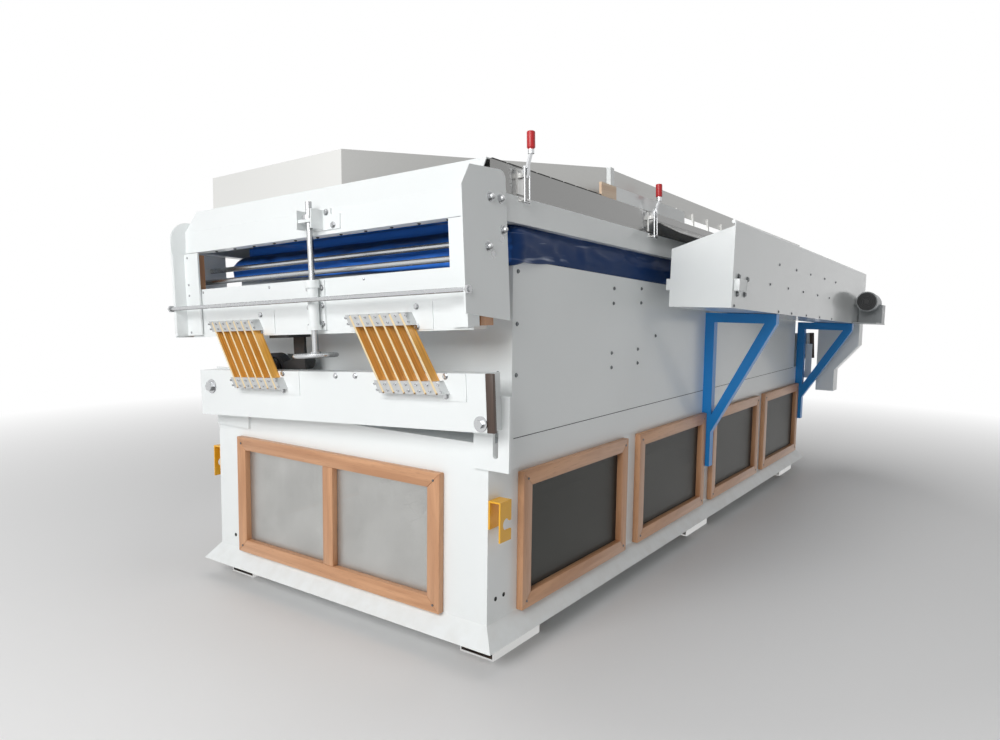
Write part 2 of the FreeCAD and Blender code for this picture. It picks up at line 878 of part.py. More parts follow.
def tilt_brackets():
    """End plates on the cabinet: a slotted one at the conveyor side, a drilled one opposite."""
    x0 = -half_length - bracket_plate
    top = bracket_bottom + bracket_height
    bolt_y, bolt_z = tilted_point(adjust_bolt_y, adjust_bolt_z)
    slotted = box(x0, -half_length, adjust_bolt_y - slotted_bracket_out,
                  adjust_bolt_y + slotted_bracket_in, bracket_bottom, top)
    half = adjust_bolt_r + slot_play
    slot_low = bolt_z - slot_down
    slot_high = bolt_z + slot_up
    slot = box(x0 - 1, -half_length + 1, bolt_y - half, bolt_y + half, slot_low, slot_high)
    ends = [rod((x0 - 1, bolt_y, z), (1, 0, 0), half, bracket_plate + 2)
            for z in (slot_low, slot_high)]
    slotted = slotted.cut(slot.fuse(ends))
    drilled = box(x0, -half_length, pivot_y - drilled_bracket_in, pivot_y + drilled_bracket_out,
                  bracket_bottom, top)
    drilled = drilled.cut(rod((x0 - 1, pivot_y, pivot_z), (1, 0, 0), pivot_bolt_r + running,
                              bracket_plate + 2))
    return at_both_ends(group([slotted, drilled]))


def headed_bolt(y, z, radius, start, end, washer_r):
    """Bolt along +X with a hexagon head and a washer outside the beam's face."""
    shank = rod((start, y, z), (1, 0, 0), radius, end - start)
    washer = rod((start - bolt_washer, y, z), (1, 0, 0), washer_r, bolt_washer)
    head_r = radius * 1.8
    corners = [(start - bolt_washer, y + head_r * math.cos(math.radians(60 * i)),
                z + head_r * math.sin(math.radians(60 * i))) for i in range(6)]
    return fuse([shank, washer, slab(corners, (-radius * 1.25, 0, 0))])


def pivot_bolts():
    bolt = headed_bolt(pivot_y, pivot_z, pivot_bolt_r, -beam_front - 0.3, -half_length,
                       pivot_washer_r)
    return at_both_ends(bolt)


def adjusting_bolts():
    bolt = headed_bolt(adjust_bolt_y, adjust_bolt_z, adjust_bolt_r, -beam_front,
                       -half_length + bracket_gap, adjust_washer_r)
    return at_both_ends(tilted(bolt))


def lifting_hooks():
    """Bent steel eyes at three corners: wall leg, top web and an outer cheek with a throat."""
    x0 = -half_length + hook_inset
    x1 = x0 + hook_length
    top = hook_base_z + hook_height
    out = -half_width - hook_stand
    leg = hook_base_z + 40
    profile = slab([(x0, -half_width, top), (x0, out, top), (x0, out, hook_base_z),
                    (x0, out + hook_plate, hook_base_z),
                    (x0, out + hook_plate, top - hook_plate),
                    (x0, -half_width - hook_plate, top - hook_plate),
                    (x0, -half_width - hook_plate, leg), (x0, -half_width, leg)],
                   (hook_length, 0, 0))
    throat_x = x0 + hook_length / 2 + 4
    throat_z = hook_base_z + hook_height * 0.42
    throat = rod((throat_x, out - 1, throat_z), (0, 1, 0), hook_throat_r, hook_plate + 2)
    mouth = box(throat_x, x1 + 1, out - 1, out + hook_plate + 1, throat_z - hook_throat_r,
                throat_z + hook_throat_r * 0.5)
    hook = profile.cut(fuse([throat, mouth]))
    opposite = hook.mirror(V(0, 0, 0), V(0, 1, 0))
    return group([hook, opposite, opposite.mirror(V(0, 0, 0), V(1, 0, 0))])


# base: conveyor

def conveyor_wall(y0, y1, height):
    return box(0, conveyor_length, y0, y1, 0, height)


def conveyor_trough():
    """Belt housing: high outer wall with a rolled lip, low inner wall, ends and bottom."""
    outer, inner = -conveyor_outer, -conveyor_inner
    shaft_holes = [rod((x, outer - 1, drum_z), (0, 1, 0), drum_shaft_r + running,
                       inner - outer + 2) for x in (drum_inset, drive_drum_x)]
    holes = group(shaft_holes)
    lip = rod((0, outer + conveyor_lip_r, conveyor_outer_height), (1, 0, 0), conveyor_lip_r,
              conveyor_length)
    outer_wall = fuse([conveyor_wall(outer, outer + sheet, conveyor_outer_height), lip]).cut(holes)
    inner_wall = conveyor_wall(inner - sheet, inner, conveyor_inner_height).cut(holes)
    bottom = box(0, conveyor_length, outer + sheet, inner - sheet, 0, sheet)
    outlet_end = conveyor_length - 2 * sheet
    bottom = bottom.cut(box(outlet_end - outlet_length, outlet_end, outer + 2 * sheet,
                            inner - 2 * sheet, -1, sheet + 1))
    ends = []
    for x, low in ((0, sheet), (conveyor_length - sheet, sheet)):
        outline = [(x, outer + sheet, low), (x, inner - sheet, low),
                   (x, inner - sheet, conveyor_inner_height),
                   (x, outer + sheet, conveyor_outer_height - 2 * conveyor_lip_r)]
        ends.append(slab(outline, (sheet, 0, 0)))
    return on_conveyor(group([outer_wall, inner_wall, bottom] + ends))


def conveyor_drum(x, drive_side):
    """Drum with its shaft through both walls, longer on the side that is driven."""
    width = conveyor_belt_width + 8
    shell = rod((x, conveyor_belt_y - width / 2, drum_z), (0, 1, 0), drum_r, width)
    start = -conveyor_outer - drive_side
    shaft = rod((x, start, drum_z), (0, 1, 0), drum_shaft_r, -conveyor_inner + 15 - start)
    return on_conveyor(fuse([shell, shaft]))


def conveyor_tail_drum():
    return conveyor_drum(drum_inset, 15)


def conveyor_drive_drum():
    return conveyor_drum(drive_drum_x, gearbox_width)


def conveyor_belt():
    """Endless belt, 0.3 mm off its drums."""
    def loop(radius):
        x0, x1 = drum_inset, drive_drum_x
        y = conveyor_belt_y - conveyor_belt_width / 2
        top, low = drum_z + radius, drum_z - radius
        edges = [
            Part.LineSegment(V(x0, y, top), V(x1, y, top)).toShape(),
            Part.Arc(V(x1, y, top), V(x1 + radius, y, drum_z), V(x1, y, low)).toShape(),
            Part.LineSegment(V(x1, y, low), V(x0, y, low)).toShape(),
            Part.Arc(V(x0, y, low), V(x0 - radius, y, drum_z), V(x0, y, top)).toShape(),
        ]
        return Part.Face(Part.Wire(edges)).extrude(V(0, conveyor_belt_width, 0))

    gap = 0.3
    return on_conveyor(loop(drum_r + gap + conveyor_belt_thickness).cut(loop(drum_r + gap)))


def conveyor_underside(x):
    return conveyor_bottom_z - (x - conveyor_start_x) * math.tan(math.radians(conveyor_fall_deg))


def conveyor_brackets():
    """Triangular tube brackets: wall post, arm under the conveyor and a brace."""
    brackets = []
    t = bracket_tube
    for x, post_drop, brace_drop in zip(bracket_places, bracket_post_drop, bracket_brace_drop):
        top = conveyor_underside(x + t / 2)
        y_wall, y_tip = -half_width, -half_width - bracket_reach
        x0 = x - t / 2
        post = box(x0, x0 + t, y_wall - t, y_wall, top - post_drop, top)
        arm = box(x0, x0 + t, y_tip, y_wall - t, top - t, top)
        brace = slab([(x0, y_tip, top - t), (x0, y_tip + 1.2 * t, top - t),
                      (x0, y_wall - t, top - brace_drop + 1.9 * t),
                      (x0, y_wall - t, top - brace_drop)], (t, 0, 0))
        brackets.append(fuse([post, arm, brace]))
    return group(brackets)


def conveyor_motor():
    """Worm gear motor on an outrigger plate: gearbox on the drum shaft, motor along the wall."""
    out = -conveyor_outer
    x, z = drive_drum_x, drum_z
    plate = box(x - gearmotor_length - 60, x + 75, out - gearbox_width, out, 0, 8)
    case = box(x - 60, x + 60, out - gearbox_width, out - 6, 8, z + 50)
    boss = rod((x, out - 6, z), (0, 1, 0), 45, 6)
    worm_z = z + worm_rise
    y = out - gearbox_width / 2
    worm = rod((x - worm_length / 2, y, worm_z), (1, 0, 0), worm_r, worm_length)
    motor = rod((x - gearmotor_length + 40, y, worm_z), (1, 0, 0), gearmotor_r - 6,
                gearmotor_length - worm_length / 2)
    cowl = rod((x - gearmotor_length, y, worm_z), (1, 0, 0), gearmotor_r, gearmotor_cowl)
    unit = fuse([plate, case, boss, worm, motor, cowl])
    return on_conveyor(unit.cut(rod((x, out - gearbox_width - 1, z), (0, 1, 0),
                                    drum_shaft_r + running, gearbox_width + 2)))


def conveyor_spout():
    """Sheet chute under the far end: square mouth, slanted throat and a narrow upright outlet."""
    top = conveyor_underside(spout_near)
    mouth = (spout_near, spout_far, -conveyor_outer, -conveyor_inner)
    outlet = (spout_near, spout_far, -conveyor_outer + spout_narrowing, -conveyor_inner)
    levels = [(top, mouth), (top - spout_straight, mouth),
              (top - spout_straight - spout_slant, outlet),
              (top - 2 * spout_straight - spout_slant, outlet)]

    def tube(inset, overrun):
        pieces = []
        for (za, a), (zb, b) in zip(levels, levels[1:]):
            wires = []
            for z, (x0, x1, y0, y1) in ((za, a), (zb, b)):
                x0, x1, y0, y1 = x0 + inset, x1 - inset, y0 + inset, y1 - inset
                wires.append(Part.makePolygon([V(x0, y0, z), V(x1, y0, z), V(x1, y1, z),
                                               V(x0, y1, z), V(x0, y0, z)]))
            pieces.append(Part.makeLoft(wires, True, True))
        if overrun:
            for z, (x0, x1, y0, y1) in (levels[0], levels[-1]):
                pieces.append(box(x0 + inset, x1 - inset, y0 + inset, y1 - inset, z - 1, z + 1))
        return fuse(pieces)

    above = on_conveyor(box(0, 2 * conveyor_length, -2 * conveyor_outer, 0, 0, drum_r))
    return tube(0, False).cut(tube(sheet, True)).cut(above)


# tilting frame

def channel_beam(y0, y1, z0, z1, depth):
    """Pressed channel across the near end, web outwards and flanges inwards."""
    x0 = -beam_front
    outer = box(x0, x0 + depth, y0, y1, z0, z1)
    inner = box(x0 + beam_steel, x0 + depth, y0 + beam_steel, y1 - beam_steel, z0 + beam_steel,
                z1 - beam_steel)
    return outer.cut(inner)


def tilt_beams():
    """Lower beams that pivot on the bolts; the far one carries the shaker motor's shelf."""
    top = beam_bottom + beam_height
    beam = channel_beam(beam_right_end, beam_left_end, beam_bottom, top, beam_depth)
    beam = beam.cut(rod((-beam_front - 1, pivot_y, pivot_z), (1, 0, 0), pivot_bolt_r + running,
                        beam_steel + 2))
    beam = beam.cut(rod((-beam_front - 1, adjust_bolt_y, adjust_bolt_z), (1, 0, 0),
                        adjust_bolt_r + running, beam_steel + 2))
    far = beam.mirror(V(0, 0, 0), V(1, 0, 0))
    return tilted(group([beam, fuse([far, motor_shelf()])]))


def beam_end_boards():
    """Wooden packing boards closing the beams' ends at the conveyor side."""
    x0 = -beam_front
    board = box(x0, x0 + beam_depth, beam_right_end - end_board, beam_right_end,
                beam_bottom, beam_bottom + beam_height)
    return tilted(at_both_ends(board))


def leaf_places(centre):
    """Middle of each leaf of a pack, at the height midway between its clamps."""
    first = centre - (leaf_count - 1) * leaf_pitch / 2 - leaf_span / 2 * math.tan(lean)
    return [first + i * leaf_pitch for i in range(leaf_count)]


def leaf_frame(shape, y, z):
    """Piece drawn upright about the origin, leaned like a leaf and put at y, z."""
    return moved(turned(shape, (0, 0, 0), (1, 0, 0), -leaf_lean_deg), 0, y, z)


def leaf_springs():
    """Glass-fibre leaves, two packs at each end."""
    length = (leaf_span + clamp_bite) / math.cos(lean)
    x0 = -beam_front - backing - leaf_width
    blade = box(x0, x0 + leaf_width - seat_gap, -leaf_thickness / 2, leaf_thickness / 2,
                -length / 2, length / 2)
    middle = (clamp_upper_z + clamp_lower_z) / 2
    leaves = [leaf_frame(blade, y, middle)
              for centre in pack_centres for y in leaf_places(centre)]
    return tilted(at_both_ends(group(leaves)))


def spring_clamps(z, plate_low):
    """Aluminium blocks either side of every leaf, on a backing plate with a bolted tail."""
    shift = (z - (clamp_upper_z + clamp_lower_z) / 2) * math.tan(lean)
    spacing = leaf_pitch * math.cos(lean)
    x0 = -beam_front - backing - leaf_width
    inner = (spacing - leaf_thickness) / 2 - seat_gap
    pieces = []
    for centre in pack_centres:
        places = [y + shift for y in leaf_places(centre)]
        for i in range(leaf_count + 1):
            low, high = -inner, inner
            y = places[0] - leaf_pitch / 2 + i * leaf_pitch
            if i == 0:
                low = inner - clamp_side
            if i == leaf_count:
                high = clamp_side - inner
            outline = []
            for end, sides in ((-1, (low, high)), (1, (high, low))):
                rise = end * clamp_height / 2
                outline += [(x0, y + rise * math.tan(lean) + side / math.cos(lean), z + rise)
                            for side in sides]
            pieces.append(slab(outline, (leaf_width, 0, 0)))
        low_y = places[0] - leaf_pitch / 2 - backing_tail
        high_y = places[-1] + leaf_pitch
        pieces.append(box(-beam_front - backing, -beam_front, low_y, high_y, plate_low,
                          plate_low + backing_height))
    return tilted(at_both_ends(group(pieces)))


def shaft_bearings():
    """Upright plates behind the beams with a round bearing housing for the eccentric shaft."""
    x0 = -beam_back
    r = drive_bearing_r
    plate = box(x0, x0 + drive_bearing_plate, shaft_y - r, shaft_y + r, beam_bottom + r / 2,
                shaft_z)
    crown = rod((x0, shaft_y, shaft_z), (1, 0, 0), r, drive_bearing_plate)
    boss = rod((x0, shaft_y, shaft_z), (1, 0, 0), drive_bearing_boss_r, drive_bearing_boss)
    unit = fuse([plate, crown, boss])
    unit = unit.cut(rod((x0 - 1, shaft_y, shaft_z), (1, 0, 0), shaft_r + running,
                        drive_bearing_boss + 2))
    return tilted(at_both_ends(unit))


def eccentric_shaft():
    """Long drive shaft through the chest, keyed to an offset disc near each end."""
    end = beam_back - 1
    half = ring_width / 2
    stops = [-end, -sheave_x - half, sheave_x - half, sheave_x + half, end]
    lengths = [(stops[0], stops[1]), (-sheave_x + half, stops[2]), (stops[3], stops[4])]
    shafts = [rod((x0, shaft_y, shaft_z), (1, 0, 0), shaft_r, x1 - x0) for x0, x1 in lengths]
    sheaves = [rod((x - half, shaft_y, shaft_z + eccentricity), (1, 0, 0), sheave_r, ring_width)
               for x in (-sheave_x, sheave_x)]
    return tilted(group(shafts + sheaves))


def shaft_pulley():
    return tilted(grooved_pulley((shaft_y, shaft_z), drive_pulley_r, shaft_r, drive_pulley_x))


def drive_motor():
    """Shaker motor on the far beam's shelf, between the spring packs, shaft end inwards."""
    motor = motor_body(drive_motor_length, drive_motor_r, drive_stub_r, drive_stub,
                       drive_motor_lift, -90)
    motor = turned(motor, (0, 0, 0), (0, 0, 1), 180)
    x = drive_pulley_x + pulley_width / 2 + pulley_gap + drive_motor_length
    return tilted(moved(motor, x, drive_motor_y, drive_motor_z))


def motor_shelf():
    """Shelf that widens the far beam's top outwards, on two gussets."""
    top = beam_bottom + beam_height
    reach = drive_motor_r + shelf_side
    y0, y1 = drive_motor_y - reach, drive_motor_y + reach
    low = top - shelf_plate
    table = box(beam_front, beam_front + shelf_depth, y0, y1, low, top)
    gussets = [slab([(beam_front, y, low), (beam_front + shelf_depth - 5, y, low),
                     (beam_front, y, top - gusset_drop)], (0, gusset_steel, 0))
               for y in (y0, y1 - gusset_steel)]
    return fuse([table] + gussets)


def drive_motor_pulley():
    stub = pulley_with_stub((0, 0), drive_motor_pulley_r, drive_stub_r,
                            drive_stub + motor_foot, 0)
    stub = turned(stub, (0, 0, 0), (0, 0, 1), 180)
    return tilted(moved(stub, drive_pulley_x, drive_motor_y, drive_motor_z))


def drive_belt():
    return tilted(belt((shaft_y, shaft_z), drive_pulley_r, (drive_motor_y, drive_motor_z),
                       drive_motor_pulley_r, drive_pulley_x, belt_width, belt_thickness - 1))


# shaking frame

def spring_plates():
    """Upper channels that stand on the leaves; the far one is low, under the deck hinges."""
    reach = deck_half - plate_end_gap
    near = channel_beam(-reach, reach, plate_bottom, plate_bottom + plate_height_near,
                        plate_depth)
    far = channel_beam(-reach, reach, plate_bottom, plate_bottom + plate_height_far,
                       plate_depth).mirror(V(0, 0, 0), V(1, 0, 0))
    return tilted(group([near, fuse([far] + hinge_ears())]))


def spacer_blocks():
    """Wooden blocks between the spring plates' ends and the side plates."""
    inner = deck_half - plate_end_gap
    outer = deck_half + side_gap
    blocks = []
    for y0, y1 in ((-outer, -inner), (inner, outer)):
        for z in (plate_bottom + spacer_lift, plate_bottom + spacer_lift + spacer_pitch):
            blocks.append(box(-beam_front + 4, -beam_front + plate_depth, y0, y1, z,
                              z + spacer_height))
    return at_both_ends(group(blocks))


def side_plates():
    """Upright plates outside the deck's corners; the near pair is tall, the far pair low."""
    y_out = deck_half + side_gap + side_plate
    front, back = -beam_front - side_plate_forward, -beam_front + side_plate_back
    top = deck_near_z + side_plate_rise
    left_top = deck_near_z + left_plate_rise
    low = plate_bottom

    def plate(outline, side, corners, radius):
        y = side * y_out
        face = slab([(x, y, z) for x, z in outline], (0, -side * side_plate, 0))
        return rounded(face, corners, radius)

    right = plate([(front, low + side_plate_low_front), (back, low + side_plate_low_back),
                   (back, top), (front + side_plate_slant, top - side_plate_top_fall),
                   (front, top - side_plate_slant_drop)], -1, [(back, top)], plate_corner_r)
    left_front = front + left_plate_setback
    left_back = -beam_front + left_plate_back
    left = plate([(left_front, low + 2), (left_back, low - 1), (left_back, left_top),
                  (left_front, left_top)], 1, [(left_front, left_top)], left_plate_corner_r)
    near = []
    for face in (right, left):
        for x, z, r in [(front_rod_x, front_rod_z, front_rod_r)] + tie_rods_at:
            bar = rod((x, -2 * y_out, z), (0, 1, 0), r + running, 4 * y_out)
            face = face.cut(bar)
        near.append(face)
    far_front = beam_front + far_plate_forward - 2 * strip_leg
    outline = [(-back, low), (far_front, low), (far_front, low + far_plate_front_height),
               (-back, low + far_plate_back_height)]
    far = [plate(outline, side, [(-back, low + far_plate_back_height)], plate_corner_r)
           for side in (-1, 1)]
    return group(near + far)


def tie_rods():
    """Two round tie rods across the window and the long front rod with its end nuts."""
    reach = deck_half + side_gap + side_plate
    rods = [rod((x, -reach, z), (0, 1, 0), r, 2 * reach) for x, z, r in tie_rods_at]
    x, z = front_rod_x, front_rod_z
    long_rod = rod((x, -reach - rod_overhang, z), (0, 1, 0), front_rod_r,
                   2 * (reach + rod_overhang))
    nut_r = front_rod_r * 1.9
    nuts = []
    for y, step in ((-reach, -rod_nut), (reach, rod_nut)):
        corners = [(x + nut_r * math.cos(math.radians(60 * i)), y,
                    z + nut_r * math.sin(math.radians(60 * i))) for i in range(6)]
        nuts.append(slab(corners, (0, step, 0)))
    return tilted(group(rods + [fuse([long_rod] + nuts)]))


def guide_strips():
    """Angle strips at both sides of the near end, bolted in front of the deck's end."""
    y_out = deck_half + side_gap
    back = -beam_front - strip_forward
    low, high = plate_bottom + strip_lift, deck_near_z - strip_top_gap
    strips = []
    for side in (-1, 1):
        y0, y1 = sorted((side * y_out, side * (y_out - strip_width)))
        face = box(back - strip_steel, back, y0, y1, low, high)
        y0, y1 = sorted((side * y_out, side * (y_out - strip_steel)))
        leg = box(back - strip_leg, back, y0, y1, low, high)
        cut = rod((front_rod_x, side * (y_out + 1), front_rod_z), (0, -side, 0),
                  front_rod_r + running, strip_width + 2)
        strips.append(fuse([face, leg]).cut(cut))
    return group(strips)


def wood_blocks():
    """Upright wooden pads behind the strips, and the spacers at the side plates."""
    y_out = deck_half + side_gap - pad_inset
    back = -beam_front - strip_forward
    low = plate_bottom + plate_height_near + 2
    pads = []
    for side in (-1, 1):
        y0, y1 = sorted((side * y_out, side * (y_out - pad_width)))
        pads.append(box(back, back + pad_depth, y0, y1, low, deck_near_z - pad_top_gap))
    return tilted(group(pads + [spacer_blocks()]))


def connecting_rods():
    """Cast ring round each offset disc, with an arm up to a lug under the spring plate."""
    rise = math.radians(rod_rise_deg)
    tip_y = shaft_y - rod_reach * math.cos(rise)
    tip_z = shaft_z + rod_reach * math.sin(rise)
    x0 = -sheave_x - ring_width / 2
    ring = rod((x0, shaft_y, shaft_z), (1, 0, 0), ring_r, ring_width)
    normal = V(0, math.sin(rise), math.cos(rise)) * 22
    hub, tip = V(x0, shaft_y - ring_r * 0.6, shaft_z + 8), V(x0, tip_y, tip_z)
    arm = Part.Face(Part.makePolygon([hub + normal, tip + normal, tip - normal, hub - normal,
                                      hub + normal])).extrude(V(ring_width, 0, 0))
    eye = rod((x0, tip_y, tip_z), (1, 0, 0), 32, ring_width)
    lug = box(x0 - 12, x0, tip_y - 32, tip_y + 32, tip_z - 32, plate_bottom - 12)
    table = box(-beam_front + plate_depth - 55, x0, tip_y - 60, tip_y + 60, plate_bottom - 12,
                plate_bottom)
    piece = fuse([ring, arm, eye, lug, table])
    bore = rod((x0 - 1, shaft_y, shaft_z), (1, 0, 0), sheave_r + ring_clearance, ring_width + 2)
    return tilted(at_both_ends(piece.cut(bore)))


def hinge_ears():
    """Hinge lugs and pins on the far spring plate that carry the deck's far end."""
    top = plate_bottom + plate_height_far
    hinges = []
    for y in (-hinge_y, hinge_y):
        base = box(hinge_x - 45, hinge_x + 25, y - lug_width * 1.5, y + lug_width * 1.5, top,
                   top + hinge_base)
        for side in (-1, 1):
            y0, y1 = sorted((y + side * (lug_width / 2 + 1), y + side * (lug_width / 2 + 13)))
            ear = box(hinge_x - 20, hinge_x + 20, y0, y1, top + hinge_base, hinge_z)
            crown = rod((hinge_x, y0, hinge_z), (0, 1, 0), 20, y1 - y0)
            base = fuse([base, ear, crown])
        pin = rod((hinge_x, y - lug_width, hinge_z), (0, 1, 0), hinge_pin_r, 2 * lug_width)
        hinges.append(fuse([base, pin]))
    return hinges


def jack_bracket():
    """Plate on the near spring plate with the guide sleeve and two collars of the lift screw."""
    x, y = -lift_x, lift_y
    low, high = sleeve_low, sleeve_high
    plate = box(-beam_front - jack_plate, -beam_front, y - 34, y + 62, low, high)
    sleeve = rod((x, y, low), (0, 0, 1), sleeve_r, high - low)
    collars = [rod((x, y, low), (0, 0, 1), collar_r, 18),
               rod((x, y, high - 28), (0, 0, 1), collar_r, 28)]
    arms = [box(x, -beam_front, y - 14, y + 14, z, z + 16) for z in (low + 1, high - 22)]
    bracket = fuse([plate, sleeve] + collars + arms)
    return tilted(bracket.cut(rod((x, y, low - 1), (0, 0, 1), lift_rod_r + lift_play,
                                  high - low + 2)))


# deck

def deck_frame():
    """Channel ring under the deck, with cross bars and the far hinge lugs."""
    outer = box(0, deck_length, -deck_half, deck_half, 0, rail_height)
    cavity = box(rail_steel, deck_length - rail_steel, -deck_half + rail_steel,
                 deck_half - rail_steel, rail_steel, rail_height - rail_steel)
    shaft = box(rail_flange, deck_length - rail_flange, -deck_half + rail_flange,
                deck_half - rail_flange, -1, rail_height + 1)
    ring = outer.cut(fuse([cavity, shaft]))
    pieces = [ring]
    for i in range(1, 5):
        x = deck_length * i / 5
        pieces.append(box(x - 4, x + 4, -deck_half + rail_steel, deck_half - rail_steel,
                          rail_height - 30, rail_height - rail_steel))
    frame = fuse(pieces)
    return fuse([on_deck(frame)] + [tilted(lug) for lug in deck_lugs()])


def deck_lugs():
    """Eyes on the deck's far end that turn on the hinge pins."""
    lugs = []
    for y in (-hinge_y, hinge_y):
        web = box(hinge_x - 19, hinge_x + 19, y - lug_width / 2, y + lug_width / 2, hinge_z,
                  hinge_z + 26)
        eye = rod((hinge_x, y - lug_width / 2, hinge_z), (0, 1, 0), 19, lug_width)
        hole = rod((hinge_x, y - lug_width, hinge_z), (0, 1, 0), hinge_pin_r + running,
                   2 * lug_width)
        lugs.append(fuse([web, eye]).cut(hole))
    return lugs


def deck_tray():
    """Sheet tray on the frame: sides with an inner top flange, end strips and grid slats."""
    low, high = rail_height, rail_height + tray_height
    near, far = end_band_back + tray_inset, deck_length
    under = high - tray_steel
    inner = deck_half - tray_steel
    pieces = []
    for side in (-1, 1):
        y0, y1 = sorted((side * deck_half, side * inner))
        pieces.append(box(near, far, y0, y1, low, under))
        y0, y1 = sorted((side * deck_half, side * (deck_half - tray_flange)))
        pieces.append(box(near, far, y0, y1, under, high))
    for x in (near, far - tray_steel):
        pieces.append(box(x, x + tray_steel, -inner, inner, low, under))
    slat_low, slat_high = low + slat_lift, under - slat_cover
    for i in range(1, grid_count + 1):
        x = deck_length * i / (grid_count + 1)
        pieces.append(box(x - grid_bar / 2, x + grid_bar / 2, -inner, inner, slat_low, slat_high))
    for y in (-deck_half / 3, deck_half / 3):
        pieces.append(box(near + tray_steel, far - tray_steel, y - grid_bar / 2,
                          y + grid_bar / 2, slat_high, high))
    return on_deck(group(pieces + [discharge_lip()]))


def deck_end_panel():
    """White folded end of the deck: a slanted band above the frame's end."""
    low, high = rail_height, rail_height + tray_height
    t = tray_steel
    outline = [(0, -deck_half, low), (end_band_back, -deck_half, high - 4),
               (end_band_back, -deck_half, high), (corner_x - 12, -deck_half, high),
               (corner_x - 12, -deck_half, high - t), (end_band_back + t, -deck_half, high - t),
               (t, -deck_half, low)]
    return on_deck(slab(outline, (0, deck_width, 0)))


def deck_screen():
    """Woven wire working surface."""
    top = rail_height + tray_height
    edge = screen_inset
    return on_deck(box(corner_x - 10, deck_length - edge, -deck_half + edge, deck_half - edge, top,
                       top + 2))


def deck_walls():
    """Stainless walls: one along the near end, one running obliquely to the outlet post."""
    low = rail_height + tray_height + 2
    t = wall_steel
    straight = box(corner_x, corner_x + t, corner_y, wall_left, low, low + wall_height)
    oblique = slab([(corner_x, corner_y, low), (corner_x + t, corner_y, low),
                    (post_x, -deck_half + 48, low), (post_x - t, -deck_half + 46, low)],
                   (0, 0, wall_height))
    long_side = box(corner_x, deck_length - 60, wall_left - t, wall_left, low, low + wall_height)
    return on_deck(group([fuse([straight, oblique, long_side]), discharge_hood()]))


def gate_post():
    """White post at the end of the oblique wall, with the bar that shuts the first outlets."""
    top = rail_height + tray_height
    y0 = -deck_half
    post = box(post_x, post_x + post_size, y0 + 26, y0 + 26 + post_size, top + 2,
               top + 2 + wall_height)
    bar = box(post_x, post_x + gate_length, y0, y0 + 12 - 0.5, top, top + gate_height)
    foot = box(post_x, post_x + post_size, y0 + 11, y0 + 30, top + 2, top + gate_height)
    return on_deck(fuse([post, bar, foot]))


def gate_wood():
    top = rail_height + tray_height
    y0 = -deck_half
    return on_deck(box(post_x - wood_length, post_x, y0, y0 + 12 - 0.5, top, top + gate_height))


def discharge_hood():
    """Long upright plate over the outlet slot, on stub posts, with a row of slot dividers."""
    top = rail_height + tray_height + 2
    y0 = -deck_half + 44
    start = post_x + post_size
    end = deck_length - 60
    plate = box(start, end, y0, y0 + wall_steel, top + hood_gap, top + wall_height)
    first = start + hood_stub_start
    pitch = (end - hood_head - first) / (hood_stub_count - 1)
    stub_top = top + hood_gap + hood_stub_lap
    stubs = [box(first + i * pitch, first + i * pitch + hood_stub, y0 - hood_stub_depth, y0, top,
                 stub_top) for i in range(hood_stub_count)]
    head = box(start, start + hood_head, y0 - hood_stub_depth, y0, top, stub_top)
    return fuse([plate, head] + stubs)


def discharge_lip():
    """Sloping sheet that carries the product from the deck's edge over the conveyor's wall."""
    top = rail_height + tray_height
    y0 = -deck_half
    start = clamp_places[1] + 36
    end = deck_length - 80
    outline = [(start, y0, top - 30), (start, y0, top - 34),
               (start, y0 - lip_reach, top - 34 - lip_drop),
               (start, y0 - lip_reach, top - 30 - lip_drop)]
    return slab(outline, (end - start, 0, 0))


def jack_clevis():
    """Bent bracket on the deck's end: base plate, two cheeks and a seat for the screw's head."""
    x0 = beam_front - lift_x
    y = lift_y
    z = clevis_z - deck_near_z
    low = z - clevis_low
    base = [box(-clevis_base, 0, y - clevis_right, y + clevis_left, low, z + clevis_high),
            box(-clevis_base, 0, y - clevis_foot, y - clevis_right, low, z + clevis_foot_high)]
    cheeks = [box(x0 - 30, 0, side, side + cheek_steel, low + 4, z + clevis_high - 4)
              for side in (y - cheek_reach - cheek_steel, y + cheek_reach)]
    seat = box(x0 - 24, 0, y - cheek_reach, y + cheek_reach, z - clevis_seat, z + clevis_seat)
    bracket = fuse(base + [seat] + cheeks)
    hole = rod((x0, y, z - 20), (0, 0, 1), lift_rod_r + 8, 40)
    return on_deck(bracket.cut(hole))


def wheel_rim(x, y, z):
    """Rim of the handwheel, eight-sided in section."""
    r = wheel_r - wheel_rim_r
    corners = []
    for i in range(wheel_rim_sides + 1):
        angle = math.radians(360.0 * (i + 0.5) / wheel_rim_sides)
        corners.append(V(x + r + wheel_rim_r * math.cos(angle), y,
                         z + wheel_rim_r * math.sin(angle)))
    return Part.Face(Part.makePolygon(corners)).revolve(V(x, y, z), V(0, 0, 1), 360)


def end_screw():
    """Lift screw with its three-spoked handwheel."""
    x, y = -lift_x, lift_y
    shaft = rod((x, y, wheel_z), (0, 0, 1), lift_rod_r, lift_top_z - wheel_z)
    hub = rod((x, y, wheel_z - 14), (0, 0, 1), 20, 22)
    rim = wheel_rim(x, y, wheel_z - 6)
    spokes = []
    for i in range(wheel_spokes):
        spoke = rod((x, y, wheel_z - 2), (1, 0, -0.04), spoke_r, wheel_r - wheel_rim_r)
        spokes.append(turned(spoke, (x, y, 0), (0, 0, 1), 40 + 360.0 * i / wheel_spokes))
    seat_top = clevis_z + clevis_seat
    collar = rod((x, y, seat_top + screw_collar_gap), (0, 0, 1), screw_collar_r, screw_collar)
    return tilted(fuse([shaft, hub, rim, collar] + spokes))


# toggle clamps

